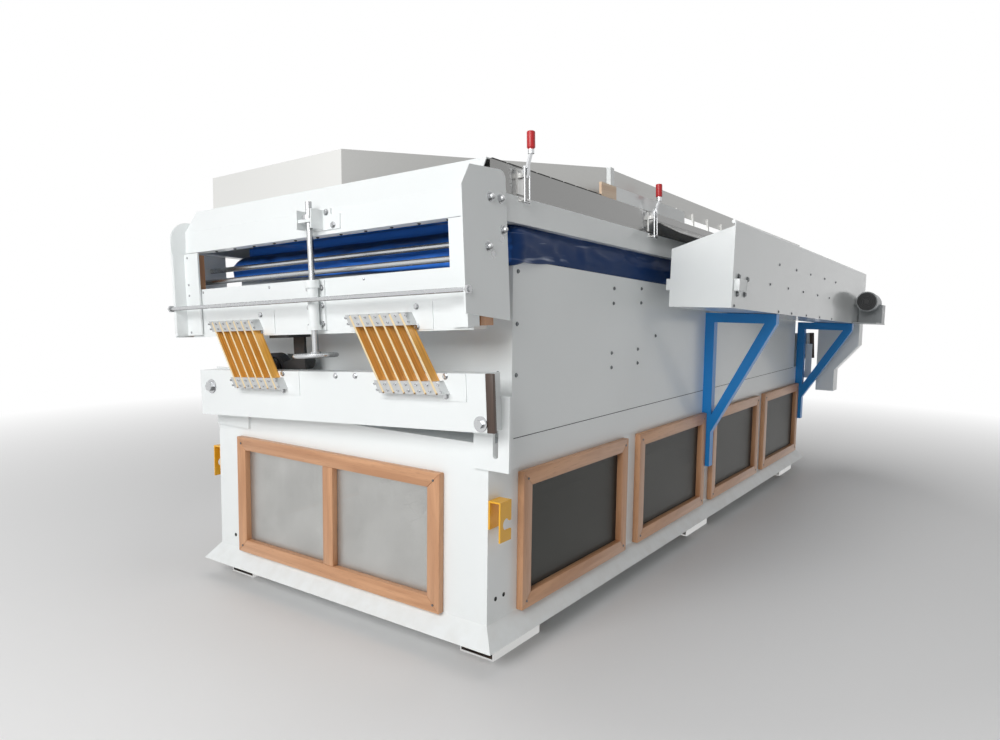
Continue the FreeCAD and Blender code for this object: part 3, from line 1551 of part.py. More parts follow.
def clamp_bases():
    """Base plates with pivot ears on the tray, and catch ledges on the frame below."""
    y0 = -deck_half
    pieces = []
    for x in clamp_places:
        low = rail_height + clamp_base_low
        base = box(x - clamp_base_width / 2, x + clamp_base_width / 2, y0 - clamp_base_steel, y0,
                   low, low + clamp_base_height)
        ears = [box(x + s * 11 - 2, x + s * 11 + 2, y0 - clamp_pivot_out - 5,
                    y0 - clamp_base_steel,
                    clamp_pivot_z - 8, clamp_pivot_z + 8) for s in (-1, 1)]
        pin = rod((x - 13, y0 - clamp_pivot_out, clamp_pivot_z), (1, 0, 0), clamp_pin_r, 26)
        pieces.append(fuse([base, pin] + ears))
        catch_low = hook_bottom_z + hook_wire_r + 1.2
        catch = box(x - 10, x + 10, y0 - hook_out - 6, y0, catch_low, catch_low + 5)
        plate = box(x - 16, x + 16, y0 - 4, y0, catch_low, rail_height - 2)
        pieces.append(fuse([catch, plate]))
    return on_deck(group(pieces))


def clamp_handle(x):
    """Bent lever with a thick grip; its heel turns on the base pin and carries the hook pin."""
    y0 = -deck_half
    py, pz = y0 - clamp_pivot_out, clamp_pivot_z
    qy, qz = y0 - hook_out, hook_z
    heel = slab([(x - 7, py + 9, pz - 9), (x - 7, py + 9, pz + 8), (x - 7, qy + 9, qz + 10),
                 (x - 7, qy - 8, qz + 8), (x - 7, qy - 8, qz - 6), (x - 7, py - 9, pz - 9)],
                (14, 0, 0))
    bend = slab([(x - 7, qy - 5, qz), (x - 7, qy + 3, qz), (x - 7, qy - 13, qz + 52),
                 (x - 7, qy - 21, qz + 52)], (14, 0, 0))
    grip = rod((x, qy - 17, qz + 46), (0, 0, 1), 11, handle_length - 60)
    hook_pin = rod((x - hook_half_width + hook_wire_r, qy, qz), (1, 0, 0), clamp_pin_r,
                   2 * (hook_half_width - hook_wire_r))
    lever = fuse([heel, bend, grip, hook_pin])
    hole = rod((x - 20, py, pz), (1, 0, 0), clamp_pin_r + running, 40)
    return on_deck(lever.cut(hole))


def clamp_hook(x):
    """Wire loop from the handle's pin down under the catch."""
    y = -deck_half - hook_out
    r = hook_wire_r
    half = hook_half_width
    legs = [rod((x + s * half, y, hook_bottom_z), (0, 0, 1), r, hook_z - hook_bottom_z + 3)
            for s in (-1, 1)]
    bar = rod((x - half, y, hook_bottom_z), (1, 0, 0), r, 2 * half)
    return on_deck(fuse(legs + [bar]))


def cloth_skirt():
    """Cloth wall between the chest's rim and the deck frame, one flat panel per side."""
    inset = sheet + seat_gap
    x_in = chest_half - inset
    y_in = half_width - inset

    def top(x, y):
        """Just under the deck frame above a point of the rim."""
        level = deck_near_z - (x + beam_front) * math.tan(slope) - cloth_clearance
        return tilted_point(y, level)[1]

    panels = []
    for side in (-1, 1):
        y = side * y_in
        outline = [(x, y, chest_top(x, y) - cloth_lap) for x in (-x_in, x_in)]
        outline += [(x, y, top(x, y)) for x in (x_in, -x_in)]
        panels.append(slab(outline, (0, -side * cloth, 0)))
        x = side * x_in
        y1 = y_in - cloth
        outline = [(x, y, chest_top(x, y) - cloth_lap) for y in (-y1, y1)]
        outline += [(x, y, top(x, y)) for y in (y1, -y1)]
        panels.append(slab(outline, (-side * cloth, 0, 0)))
    return group(panels)


def build():
    parts = {
        "feet_channels": feet_channels(),
        "foot_boards": foot_boards(),
        "base_skirt": base_skirt(),
        "base_cabinet": base_cabinet(),
        "filter_frames": filter_frames(),
        "filter_screens": filter_screens(),
        "upper_chest": upper_chest(),
        "chest_floor": chest_floor(),
        "fan_housings": fan_housings(),
        "fan_bearings": fan_bearings(),
        "fan_shaft": fan_shaft(),
        "fan_wheels": fan_wheels(),
        "fan_pulley": fan_pulley(),
        "fan_motor": fan_motor(),
        "fan_motor_pulley": fan_motor_pulley(),
        "fan_belt": fan_belt(),
        "tilt_brackets": tilt_brackets(),
        "pivot_bolts": pivot_bolts(),
        "lifting_hooks": lifting_hooks(),
        "conveyor_brackets": conveyor_brackets(),
        "conveyor_trough": conveyor_trough(),
        "conveyor_spout": conveyor_spout(),
        "conveyor_belt": conveyor_belt(),
        "conveyor_motor": conveyor_motor(),
        "conveyor_drive_drum": conveyor_drive_drum(),
        "conveyor_tail_drum": conveyor_tail_drum(),
        "cloth_skirt": cloth_skirt(),
        "tilt_beams": tilt_beams(),
        "beam_end_boards": beam_end_boards(),
        "adjusting_bolts": adjusting_bolts(),
        "lower_spring_clamps": spring_clamps(clamp_lower_z, clamp_lower_z - backing_height / 2),
        "leaf_springs": leaf_springs(),
        "shaft_bearings": shaft_bearings(),
        "eccentric_shaft": eccentric_shaft(),
        "shaft_pulley": shaft_pulley(),
        "drive_motor": drive_motor(),
        "drive_motor_pulley": drive_motor_pulley(),
        "drive_belt": drive_belt(),
        "spring_plates": spring_plates(),
        "upper_spring_clamps": spring_clamps(clamp_upper_z, plate_bottom + 6),
        "side_plates": tilted(group([side_plates(), guide_strips()])),
        "tie_rods": tie_rods(),
        "wood_blocks": wood_blocks(),
        "connecting_rods": connecting_rods(),
        "jack_bracket": jack_bracket(),
        "end_screw": end_screw(),
        "deck_frame": deck_frame(),
        "deck_tray": deck_tray(),
        "deck_end_panel": deck_end_panel(),
        "deck_screen": deck_screen(),
        "deck_walls": deck_walls(),
        "gate_bar": gate_post(),
        "gate_wood": gate_wood(),
        "jack_clevis": jack_clevis(),
        "clamp_bases": clamp_bases(),
        "clamp_handle_1": clamp_handle(clamp_places[0]),
        "clamp_handle_2": clamp_handle(clamp_places[1]),
        "clamp_hook_1": clamp_hook(clamp_places[0]),
        "clamp_hook_2": clamp_hook(clamp_places[1]),
    }
    return parts


def main():
    os.makedirs("parts", exist_ok=True)
    for name, shape in build().items():
        shape.exportStep("parts/" + name + ".step")
        print(name, len(shape.Solids), shape.isValid(), round(shape.Volume / 1e6, 2))


main()
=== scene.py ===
"""Gravity separator: finishes, curtain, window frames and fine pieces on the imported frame."""

import json
import math
import random

import bpy
from bpy.props import FloatProperty, FloatVectorProperty, IntProperty, PointerProperty
from mathutils import Matrix, Vector, noise


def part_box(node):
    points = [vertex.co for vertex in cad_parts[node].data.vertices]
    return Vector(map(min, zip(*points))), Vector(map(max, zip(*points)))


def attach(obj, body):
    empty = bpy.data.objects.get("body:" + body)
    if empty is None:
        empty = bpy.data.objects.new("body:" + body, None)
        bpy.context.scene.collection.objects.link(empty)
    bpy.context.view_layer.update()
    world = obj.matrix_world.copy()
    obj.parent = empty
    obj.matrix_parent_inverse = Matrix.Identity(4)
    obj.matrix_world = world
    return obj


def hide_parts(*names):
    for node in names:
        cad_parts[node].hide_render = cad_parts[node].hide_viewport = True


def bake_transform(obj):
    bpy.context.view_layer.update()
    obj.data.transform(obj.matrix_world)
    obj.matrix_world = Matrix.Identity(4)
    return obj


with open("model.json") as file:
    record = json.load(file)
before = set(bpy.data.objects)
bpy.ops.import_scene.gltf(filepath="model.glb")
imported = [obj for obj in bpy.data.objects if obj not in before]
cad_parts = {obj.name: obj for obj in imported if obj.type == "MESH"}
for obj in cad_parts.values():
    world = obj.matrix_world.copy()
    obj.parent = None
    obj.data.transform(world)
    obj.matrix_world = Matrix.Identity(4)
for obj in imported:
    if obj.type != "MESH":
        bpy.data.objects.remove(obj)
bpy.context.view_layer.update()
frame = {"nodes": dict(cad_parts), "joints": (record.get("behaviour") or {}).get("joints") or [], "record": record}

bl_info = {
    "name": "Gravity separator",
    "version": (1, 0, 0),
    "blender": (4, 5, 0),
    "location": "View3D > Sidebar > Separator",
    "description": "Dresses the packed gravity separator with finishes and fine pieces",
    "category": "Object",
}

MM = 0.001


def joint(name):
    return next(entry for entry in frame["joints"] if entry["name"] == name)


def tilt_frame_matrix():
    """Turn about the pivot bolts that takes the level drawing to the working side tilt."""
    pivot = Vector(joint("side_tilt")["pos_m"])
    across = joint("deck_end_raise")["axis"]
    turn = Matrix.Rotation(math.atan2(across[2], across[1]), 4, "X")
    return Matrix.Translation(pivot) @ turn @ Matrix.Translation(-pivot)


def sloping(corner, degrees):
    """Frame at a near bottom edge whose x runs down a slope to the far end."""
    return Matrix.Translation(corner) @ Matrix.Rotation(math.radians(degrees), 4, "Y")


DECK_SLOPE = math.degrees(math.acos(joint("clamp_handle_turn_1")["axis"][0]))
CONVEYOR_SLOPE = 2.7
BEAM_FRONT = -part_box("tilt_beams")[0].x
DECK_CORNER = Vector((-BEAM_FRONT, 0, 1456 * MM))
CONVEYOR_CORNER = Vector((-750 * MM, 0, 1243 * MM))
LEVEL = Matrix.Identity(4)
TILT = tilt_frame_matrix()
DECK = TILT @ sloping(DECK_CORNER, DECK_SLOPE)
CONVEYOR = sloping(CONVEYOR_CORNER, CONVEYOR_SLOPE)

# the carrying pieces that the fine ones sit on
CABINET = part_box("base_cabinet")[1]
CHEST_X, CHEST_Y, CHEST_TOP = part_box("upper_chest")[1]
CHEST_FALL = math.tan(math.radians(2.86))
CHEST_CROSS_FALL = math.tan(math.radians(2.0))
SEAM_HEIGHT = 782 * MM
WINDOW_WIDTH = {"side": 839 * MM, "end": 1145 * MM}
WINDOW_LOW, WINDOW_HEIGHT, WINDOW_THICK = 150 * MM, 510 * MM, 28 * MM
SIDE_WINDOWS, SIDE_WINDOW_PITCH, SIDE_WINDOW_SHIFT = 4, 961 * MM, 55 * MM
END_WINDOW_SHIFT = 15 * MM
DECK_HALF, DECK_LENGTH, TRAY_TOP = 797 * MM, 4150 * MM, 190 * MM
SIDE_PLATE_OUT = 805 * MM
STRIP_FRONT, STRIP_MIDDLE = 2093 * MM, 765 * MM
BACKING_PLATE = 4 * MM
BEAM_END, BEAM_LOW, BEAM_HEIGHT = -808 * MM, 757 * MM, 192 * MM
SLAT_WIDTH, SLAT_DEPTH, SLAT_TOP_SLOPE = 29.5 * MM, 14 * MM, 0.08
LEAF_LEAN, LEAF_PITCH, LEAF_GAPS = math.radians(29), 48 * MM, 7
PACK_CENTRES = (437 * MM, -381 * MM)
CLAMP_FACE, UPPER_CLAMP, LOWER_CLAMP = 2124 * MM, 1134.5 * MM, 902.5 * MM
TOGGLE_PLACES, LEVER_OUT, GRIP_FOOT = (252 * MM, 1308 * MM), 44 * MM, 250 * MM
TROUGH_OUT, TROUGH_IN = -1139 * MM, -853 * MM
MOTOR_END = Vector((2627, -1219, 156)) * MM

# the curtain's hems, corners and slack
SHEET = 2 * MM
CURTAIN_INSET, CURTAIN_TUCK, CURTAIN_CORNER = 6.5 * MM, 10 * MM, 45 * MM
RIM_LAP, DECK_LAP = 26 * MM, 35 * MM
SLACK_FROM, SLACK_TO = 350 * MM, 50 * MM
BUNCH_FROM, BUNCH_TO = 450 * MM, 100 * MM
BAND_GAP, BAND_LEAST, BAND_LAP, BAND_TOP = 8 * MM, 6 * MM, 12 * MM, 18 * MM
BLEND_START, BLEND_PAST, BLEND_CROSS_FALL = 4 * MM, 10 * MM, 0.046

CAMERA_PLACE = Vector((-4.0355, -2.2442, 1.280))
CAMERA_RIGHT = Vector((0.57867, -0.81547, 0.01221))
CAMERA_UP = Vector((0.07114, 0.06539, 0.99532))


class SeparatorColours(bpy.types.PropertyGroup):
    """Main colours of the finishes."""

    def colour(name, about, value):
        return FloatVectorProperty(name=name, description=about, subtype="COLOR", size=3,
                                   default=value, min=0, max=1)

    white: colour("White", "Powder coat of cabinet and frames", (0.84, 0.87, 0.87))
    steel: colour("Steel", "Stainless sheet of the deck", (0.60, 0.60, 0.59))
    zinc: colour("Zinc", "Plated rods, bolts and handwheel", (0.57, 0.58, 0.59))
    blue: colour("Blue", "Gloss paint of the conveyor brackets", (0.0, 0.22, 0.62))
    yellow: colour("Yellow", "Gloss paint of the lifting hooks", (0.85, 0.44, 0.02))
    wood_pale: colour("Pale wood", "Light grain of the window frames", (0.62, 0.335, 0.18))
    wood_deep: colour("Deep wood", "Dark grain of the window frames", (0.44, 0.21, 0.10))
    dark_wood: colour("Dark wood", "Stained packing boards", (0.075, 0.042, 0.028))
    # painted shade and light: wire is the mesh darkened on the sides, wire_lit the same mesh paler on the end
    # windows
    wire: colour("Wire", "Filter mesh", (0.055, 0.055, 0.05))
    wire_lit: colour("Lit wire", "Filter mesh of the end windows", (0.70, 0.70, 0.68))
    cast: colour("Cast", "Aluminium clamp blocks", (0.66, 0.67, 0.67))
    leaf: colour("Leaf", "Laminate of the spring leaves", (0.98, 0.43, 0.075))
    leaf_edge: colour("Leaf edge", "Sawn edge of the leaves", (0.82, 0.66, 0.40))
    # cloth is the raised tone of the lit ends, painted light; the sides take it darkened as painted shade
    cloth: colour("Cloth", "Coated curtain", (0.055, 0.25, 0.92))
    black: colour("Black", "Painted castings", (0.028, 0.029, 0.031))
    motor: colour("Motor", "Motor paint", (0.30, 0.32, 0.33))
    rubber: colour("Rubber", "Belts", (0.022, 0.022, 0.023))
    red: colour("Red", "Clamp grips", (0.55, 0.012, 0.016))
    floor: colour("Floor", "Studio floor", (0.80, 0.80, 0.80))


class SeparatorSizes(bpy.types.PropertyGroup):
    """Sizes of the fine pieces."""

    def length(name, about, millimetres):
        return FloatProperty(name=name, description=about, default=millimetres * MM, min=0,
                             unit="LENGTH")

    board_width: length("Board width", "Face width of a window board", 56)
    board_edge: length("Board edge", "Rounding of the window boards", 2.5)
    mesh_pitch: length("Mesh pitch", "Distance between filter wires", 3.2)
    bolt: length("Bolt", "Thread radius of the frame bolts", 5)
    screw: length("Screw", "Head radius of the small screws", 5)
    curtain_step: length("Curtain step", "Mesh width of the curtain", 13)
    curtain_bulge: length("Curtain bulge", "How far the curtain billows", 15)
    end_bulge: length("End bulge", "How far the near end of the curtain billows", 52)
    end_sag: length("End sag", "How far the near end of the curtain hangs over the rim", 46)
    fold_depth: length("Fold depth", "Depth of the curtain's creases", 11)
    seed: IntProperty(name="Seed", description="Seed of all scattered values", default=7)


class SeparatorStage(bpy.types.PropertyGroup):
    """Camera and light."""

    lens: FloatProperty(name="Lens", description="Focal length on a 36 mm sensor",
                        default=27.546, unit="CAMERA")
    key: FloatProperty(name="Key", description="Power of the lamp before the near end",
                       default=325, unit="POWER")
    fill: FloatProperty(name="Fill", description="Power of the lamp at the conveyor side",
                        default=4, unit="POWER")
    top: FloatProperty(name="Top", description="Power of the overhead lamp", default=120,
                       unit="POWER")
    sky: FloatProperty(name="Sky", description="Strength of the surrounding light", default=0.16)


class Value:
    """A shader socket that takes part in sums."""

    def __init__(self, finish, socket):
        self.finish = finish
        self.socket = socket

    def of(self, operation, other=0.0, swapped=False):
        pair = (other, self) if swapped else (self, other)
        return self.finish.node("ShaderNodeMath", {"operation": operation}, dict(enumerate(pair)))

    def __add__(self, other):
        return self.of("ADD", other)

    def __sub__(self, other):
        return self.of("SUBTRACT", other)

    def __rsub__(self, other):
        return self.of("SUBTRACT", other, swapped=True)

    def __mul__(self, other):
        return self.of("MULTIPLY", other)


class Finish:
    """A procedural material: one surface shader and the nodes that feed it."""

    made = {}

    def __init__(self, name, slot, **fixed):
        self.slot = slot
        self.material = bpy.data.materials.new(name)
        self.material.use_nodes = True
        self.tree = self.material.node_tree
        self.tree.nodes.clear()
        self.surface = self.tree.nodes.new("ShaderNodeBsdfPrincipled")
        output = self.tree.nodes.new("ShaderNodeOutputMaterial")
        self.tree.links.new(self.surface.outputs[0], output.inputs[0])
        self.place = self.node("ShaderNodeTexCoord", output="Object")
        for key, value in fixed.items():
            self.feed(key.replace("_", " ").title().replace("Ior", "IOR"), value)
        Finish.made[name] = self

    def node(self, kind, settings=None, sockets=None, output=0):
        """A new node: its settings first, then the values or links of its sockets."""
        made = self.tree.nodes.new(kind)
        for key, value in (settings or {}).items():
            setattr(made, key, value)
        for key, value in (sockets or {}).items():
            self.join(made.inputs[key], value)
        return Value(self, made.outputs[output])

    def join(self, socket, value):
        if isinstance(value, Value):
            self.tree.links.new(value.socket, socket)
        elif socket.type == "RGBA":
            socket.default_value = (*value[:3], 1)
        else:
            socket.default_value = value

    def feed(self, name, value):
        self.join(self.surface.inputs[name], value)

    def axis(self, name, vector=None):
        return self.node("ShaderNodeSeparateXYZ", {}, {0: vector or self.place}, name)

    def stretched(self, scale, vector=None):
        return self.node("ShaderNodeMapping", {}, {"Vector": vector or self.place, "Scale": scale})

    def noise(self, scale, detail=3.0, vector=None, distortion=0.0):
        return self.node("ShaderNodeTexNoise", {}, {
            "Vector": vector or self.place, "Scale": scale, "Detail": detail,
            "Distortion": distortion})

    def between(self, value, low, high):
        """0 below low, 1 above high, even in between."""
        return self.node("ShaderNodeMapRange", {}, {0: value, 1: low, 2: high})

    def mix(self, share, first, second):
        return self.node("ShaderNodeMix", {"data_type": "RGBA"}, {0: share, 6: first, 7: second}, 2)

    def bump(self, height, depth, strength=1.0):
        self.feed("Normal", self.node("ShaderNodeBump", {}, {
            "Height": height, "Distance": depth, "Strength": strength}))


def shade(colour, share):
    """The colour made darker, or paler above one."""
    return tuple(min(channel * share, 1.0) for channel in colour)


def painted(name, slot, colour, gloss, dusty=False, coat=0.3):
    """Sprayed paint with a fine skin, faint clouds and, low down, floor dust."""
    finish = Finish(name, slot, coat_weight=coat, coat_roughness=gloss * 0.5)
    clouds = finish.noise(2.1, 4.0)
    wiped = finish.noise(7.0, 5.0, distortion=0.6)
    base = finish.mix(finish.between(clouds, 0.35, 0.7) * 0.6, colour, shade(colour, 0.955))
    if dusty:
        low = 1 - finish.between(finish.axis("Z"), 0.075, 0.24)
        grime = finish.between(finish.noise(16.0, 6.0), 0.4, 0.72) * low
        base = finish.mix(grime * 0.16, base, (0.42, 0.37, 0.29))
    finish.feed("Base Color", base)
    finish.feed("Roughness", wiped * 0.14 + gloss)
    finish.bump(finish.noise(420.0, 2.0), 0.0004, 0.18)
    return finish


def brushed(name, slot, colour, rough, direction, marks=0.12, relief=0.25, under=1.0, ends=1.0):
    """Sheet metal with fine streaks along one direction, painted shade below and painted light at the ends (faces
    that look along x).
    """
    finish = Finish(name, slot, metallic=1.0)
    fine = finish.noise(1.0, 3.0, finish.stretched(direction))
    cloud = finish.noise(3.0, 4.0)
    base = finish.mix(fine * (marks * 5), colour, shade(colour, 0.8))
    normal = finish.node("ShaderNodeTexCoord", output="Normal")
    # painted shade: faces that look down take the colour darkened by under
    base = finish.mix(finish.between(finish.axis("Z", normal), -0.8, 0.5),
                      shade(colour, under), base)
    # painted light: faces that look along x take the colour brightened by ends
    along = finish.between(finish.axis("X", normal).of("ABSOLUTE"), 0.6, 0.8)
    finish.feed("Base Color", finish.mix(along, base, shade(colour, ends)))
    finish.feed("Roughness", fine * marks + cloud * marks + (rough - marks))
    finish.bump(fine, 0.0003, relief)
    return finish


def wooden(name, slot, pale, deep, stretch=None):
    """Varnished board, its grain along the small number of the stretch or the board's own x."""
    finish = Finish(name, slot, coat_weight=0.18, coat_roughness=0.3)
    if stretch is None:
        stretch = (1.4, 26.0, 26.0)
        along = finish.node("ShaderNodeAttribute", {"attribute_name": "grain"}, output="Vector")
    else:
        along = finish.place
    lines = finish.noise(1.0, 6.0, finish.stretched(stretch, along), 1.2)
    pores = finish.noise(9.0, 2.0, finish.stretched(tuple(s * 1.6 for s in stretch), along))
    tint = finish.noise(1.3, 1.0, along)
    share = finish.between(lines, 0.36, 0.66)
    base = finish.mix(share, deep, pale)
    base = finish.mix(finish.between(pores, 0.60, 0.72) * 0.45, base, shade(deep, 0.6))
    base = finish.mix(tint * 0.3, base, shade(pale, 1.12))
    finish.feed("Base Color", base)
    finish.feed("Roughness", pores * 0.2 + 0.34)
    finish.bump(pores, 0.0004, 0.35)
    return finish


def woven(name, slot, colour, lit, pitch, first, second):
    """Square wire mesh: open between wires that cross along two axes, paler towards the ends as painted light and
    darker on the sides as painted shade.
    """
    finish = Finish(name, slot, metallic=0.85, roughness=0.42)

    def wires(coordinate):
        phase = (coordinate * (1 / pitch)).of("FRACT")
        return finish.between((phase - 0.5).of("ABSOLUTE"), 0.24, 0.30)

    weave = wires(first(finish)).of("MAXIMUM", wires(second(finish)))
    # painted light and shade: faces that look along x take the lit colour, the others the darker one
    facing_end = finish.axis("X", finish.node("ShaderNodeTexCoord", output="Normal"))
    share = finish.between(facing_end.of("ABSOLUTE"), 0.4, 0.6)
    finish.feed("Alpha", weave)
    finish.feed("Base Color", finish.mix(finish.noise(5.0, 4.0) * 0.4,
                                         finish.mix(share, colour, lit), shade(colour, 0.7)))
    return finish


def filter_mesh(colours, sizes):
    return woven("mesh", "mesh", colours.wire, colours.wire_lit, sizes.mesh_pitch,
                 lambda finish: finish.axis("X") + finish.axis("Y"),
                 lambda finish: finish.axis("Z"))


def deck_mesh(sizes):
    grey = (0.46, 0.46, 0.45)
    return woven("deck_mesh", "deck_mesh", grey, grey, sizes.mesh_pitch * 1.2,
                 lambda finish: finish.axis("X"), lambda finish: finish.axis("Y"))


def cast_aluminium(colours):
    finish = Finish("cast_clamp", "cast_clamp", metallic=1.0)
    grain = finish.noise(160.0, 4.0)
    cloud = finish.noise(24.0, 3.0)
    finish.feed("Base Color", finish.mix(cloud, colours.cast, shade(colours.cast, 0.72)))
    finish.feed("Roughness", grain * 0.3 + 0.25)
    finish.bump(grain, 0.0006, 0.6)
    return finish


def leaf_laminate(colours):
    """Brown glass-fibre leaves: fibres lengthwise, pale sawn edges towards the ends."""
    finish = Finish("leaf_glass_fibre", "leaf_glass_fibre", coat_weight=0.25,
                    coat_roughness=0.25)
    lean = TILT.to_euler().x - LEAF_LEAN
    fibres = finish.node("ShaderNodeMapping", {"vector_type": "TEXTURE"}, {
        "Vector": finish.place, "Rotation": (lean, 0, 0), "Scale": (0.006, 0.006, 0.25)})
    streak = finish.noise(1.0, 4.0, fibres, 0.4)
    face = finish.mix(finish.between(streak, 0.3, 0.7), shade(colours.leaf, 0.66),
                      shade(colours.leaf, 1.2))
    normal = finish.node("ShaderNodeTexCoord", output="Normal")
    edge = finish.between(finish.axis("X", normal).of("ABSOLUTE"), 0.6, 0.7)
    pale = finish.mix(streak * 0.4, colours.leaf_edge, shade(colours.leaf_edge, 0.72))
    finish.feed("Base Color", finish.mix(edge, face, pale))
    finish.feed("Roughness", streak * 0.15 + 0.3)
    finish.bump(streak, 0.0003, 0.3)
    return finish


def coated_cloth(colours):
    """Glossy coated fabric: a fine weave under the coat, painted shade on the sides against the ends, and light
    streaks along the folds that are coat reflection and a painted highlight in the colour.
    """
    finish = Finish("blue_cloth", "blue_cloth", coat_roughness=0.14, specular_ior_level=0.08)
    cloud = finish.noise(6.0, 4.0)
    weave = finish.noise(1.0, 1.0, finish.stretched((700.0, 700.0, 700.0)))
    # painted shade: the sides take the cloth colour darkened to 0.16, and the ends keep the full raised colour as
    # painted light
    ends = finish.between(finish.axis("X", finish.node("ShaderNodeTexCoord", output="Normal"))
                          .of("ABSOLUTE"), 0.6, 0.9)
    tone = finish.mix(ends, shade(colours.cloth, 0.16), colours.cloth)
    tone = finish.mix(cloud * 0.3, tone, shade(colours.cloth, 0.1))
    streaks = finish.noise(1.0, 2.0, finish.stretched((3.0, 3.0, 34.0)), 0.8)
    painted_glint = finish.between(streaks, 0.63, 0.72)
    # painted highlight: pale blue mixed into the colour along the streaks; the coat weight below is the real
    # reflection
    finish.feed("Base Color", finish.mix(painted_glint * 0.3, tone, (0.32, 0.42, 0.72)))
    finish.feed("Coat Weight", painted_glint)
    finish.feed("Roughness", cloud * 0.15 + 0.24)
    finish.bump(weave, 0.0003, 0.15)
    return finish


def moulded(name, slot, colour, rough, grain=300.0):
    """Plain plastic, rubber or rough painted casting."""
    finish = Finish(name, slot)
    skin = finish.noise(grain, 3.0)
    cloud = finish.noise(9.0, 4.0)
    finish.feed("Base Color", finish.mix(cloud * 0.7, colour, shade(colour, 0.7)))
    finish.feed("Roughness", skin * 0.16 + (rough - 0.08))
    finish.bump(skin, 0.0005, 0.4)
    return finish


def lever_finish(colours, grip_foot):
    """Plated lever; its upper end, above the grip's foot, is red."""
    finish = Finish("red_grip", "red_grip", coat_weight=0.2)
    grip = finish.between(finish.axis("Z"), grip_foot - 0.001, grip_foot)
    scratch = finish.noise(90.0, 3.0)
    finish.feed("Base Color", finish.mix(grip, colours.zinc, colours.red))
    finish.feed("Metallic", 1 - grip)
    finish.feed("Roughness", scratch * 0.15 + 0.22)
    return finish


def make_finishes(colours, sizes):
    """Every finish, by the name of its material slot."""
    pale, deep = tuple(colours.wood_pale), tuple(colours.wood_deep)
    flat = (4.0, 160.0, 160.0)
    made = {
        "white_paint": painted("white_paint", "white_paint", colours.white, 0.30, dusty=True),
        "gloss_white": painted("gloss_white", "white_paint", colours.white, 0.12),
        "bare_steel": brushed("bare_steel", "bare_steel", colours.steel, 0.34, flat),
        # painted light: the deck walls' end faces are paler than their sides
        "wall_steel": brushed("wall_steel", "bare_steel", (0.42, 0.42, 0.41), 0.44, flat, 0.06,
                              0.1, ends=1.75),
        "tray_steel": brushed("tray_steel", "bare_steel", shade(colours.steel, 0.42), 0.2, flat,
                              0.03, 0.03),
        # painted shade: the plated rods, bolts and handwheel are darker on their undersides
        "zinc_steel": brushed("zinc_steel", "zinc_steel", colours.zinc, 0.26, (90.0, 90.0, 90.0),
                              0.08, under=0.3),
        "dark_zinc": brushed("dark_zinc", "zinc_steel", (0.16, 0.17, 0.175), 0.4,
                             (90.0, 90.0, 90.0)),
        "blue_paint": painted("blue_paint", "blue_paint", colours.blue, 0.3, coat=0.08),
        "yellow_paint": painted("yellow_paint", "yellow_paint", colours.yellow, 0.3, coat=0.08),
        "frame_wood": wooden("frame_wood", "frame_wood", pale, deep),
        "foot_wood": wooden("foot_wood", "frame_wood", shade(pale, 0.62), shade(deep, 0.5),
                            (1.6, 30.0, 30.0)),
        "gate_wood": wooden("gate_wood", "frame_wood", (0.78, 0.62, 0.46), (0.62, 0.43, 0.28),
                            (1.6, 30.0, 30.0)),
        "pad_wood": wooden("pad_wood", "frame_wood", shade(pale, 0.86), shade(deep, 0.8),
                           (30.0, 30.0, 1.6)),
        "dark_wood": wooden("dark_wood", "dark_wood", colours.dark_wood,
                            shade(colours.dark_wood, 0.45), (30.0, 30.0, 1.6)),
        "mesh": filter_mesh(colours, sizes),
        "deck_mesh": deck_mesh(sizes),
        "cast_clamp": cast_aluminium(colours),
        "leaf_glass_fibre": leaf_laminate(colours),
        "blue_cloth": coated_cloth(colours),
        "cast_iron_black": moulded("cast_iron_black", "cast_iron_black", colours.black, 0.55),
        "motor_grey": painted("motor_grey", "motor_grey", colours.motor, 0.36),
        "belt_rubber": moulded("belt_rubber", "belt_rubber", colours.rubber, 0.7),
        "red_plastic": moulded("red_plastic", "red_grip", colours.red, 0.34, 120.0),
        "black_hole": moulded("black_hole", "cast_iron_black", (0.006, 0.006, 0.006), 0.8),
    }
    grip_foot = (DECK @ Vector((TOGGLE_PLACES[0], -DECK_HALF, GRIP_FOOT))).z
    made["red_grip"] = lever_finish(colours, grip_foot)
    return made


SPECIAL_FINISH = {
    "conveyor_trough": "gloss_white",
    "gate_bar": "gloss_white",
    "deck_walls": "wall_steel",
    "deck_tray": "tray_steel",
    "foot_boards": "foot_wood",
    "gate_wood": "gate_wood",
    "wood_blocks": "pad_wood",
}


def repaint(node, finish, test):
    """A second finish on the faces whose middle passes the test."""
    node.data.materials.append(finish.material)
    for face in node.data.polygons:
        if test(node.matrix_world @ face.center):
            face.material_index = 1


def deselect():
    bpy.ops.object.select_all(action="DESELECT")


def only(piece):
    """The piece alone selected and active."""
    if bpy.context.object and bpy.context.object.mode != "OBJECT":
        bpy.ops.object.mode_set(mode="OBJECT")
    deselect()
    piece.select_set(True)
    bpy.context.view_layer.objects.active = piece
    return piece


def primitive(kind, **settings):
    """A primitive in object mode, its place kept in the mesh."""
    deselect()
    getattr(bpy.ops.mesh, "primitive_" + kind + "_add")(**settings)
    bpy.ops.object.transform_apply(location=True, rotation=True, scale=True)
    return bpy.context.active_object


def block(size, location=(0, 0, 0)):
    """A box of the given size round a point."""
    return primitive("cube", size=1, scale=size, location=location)


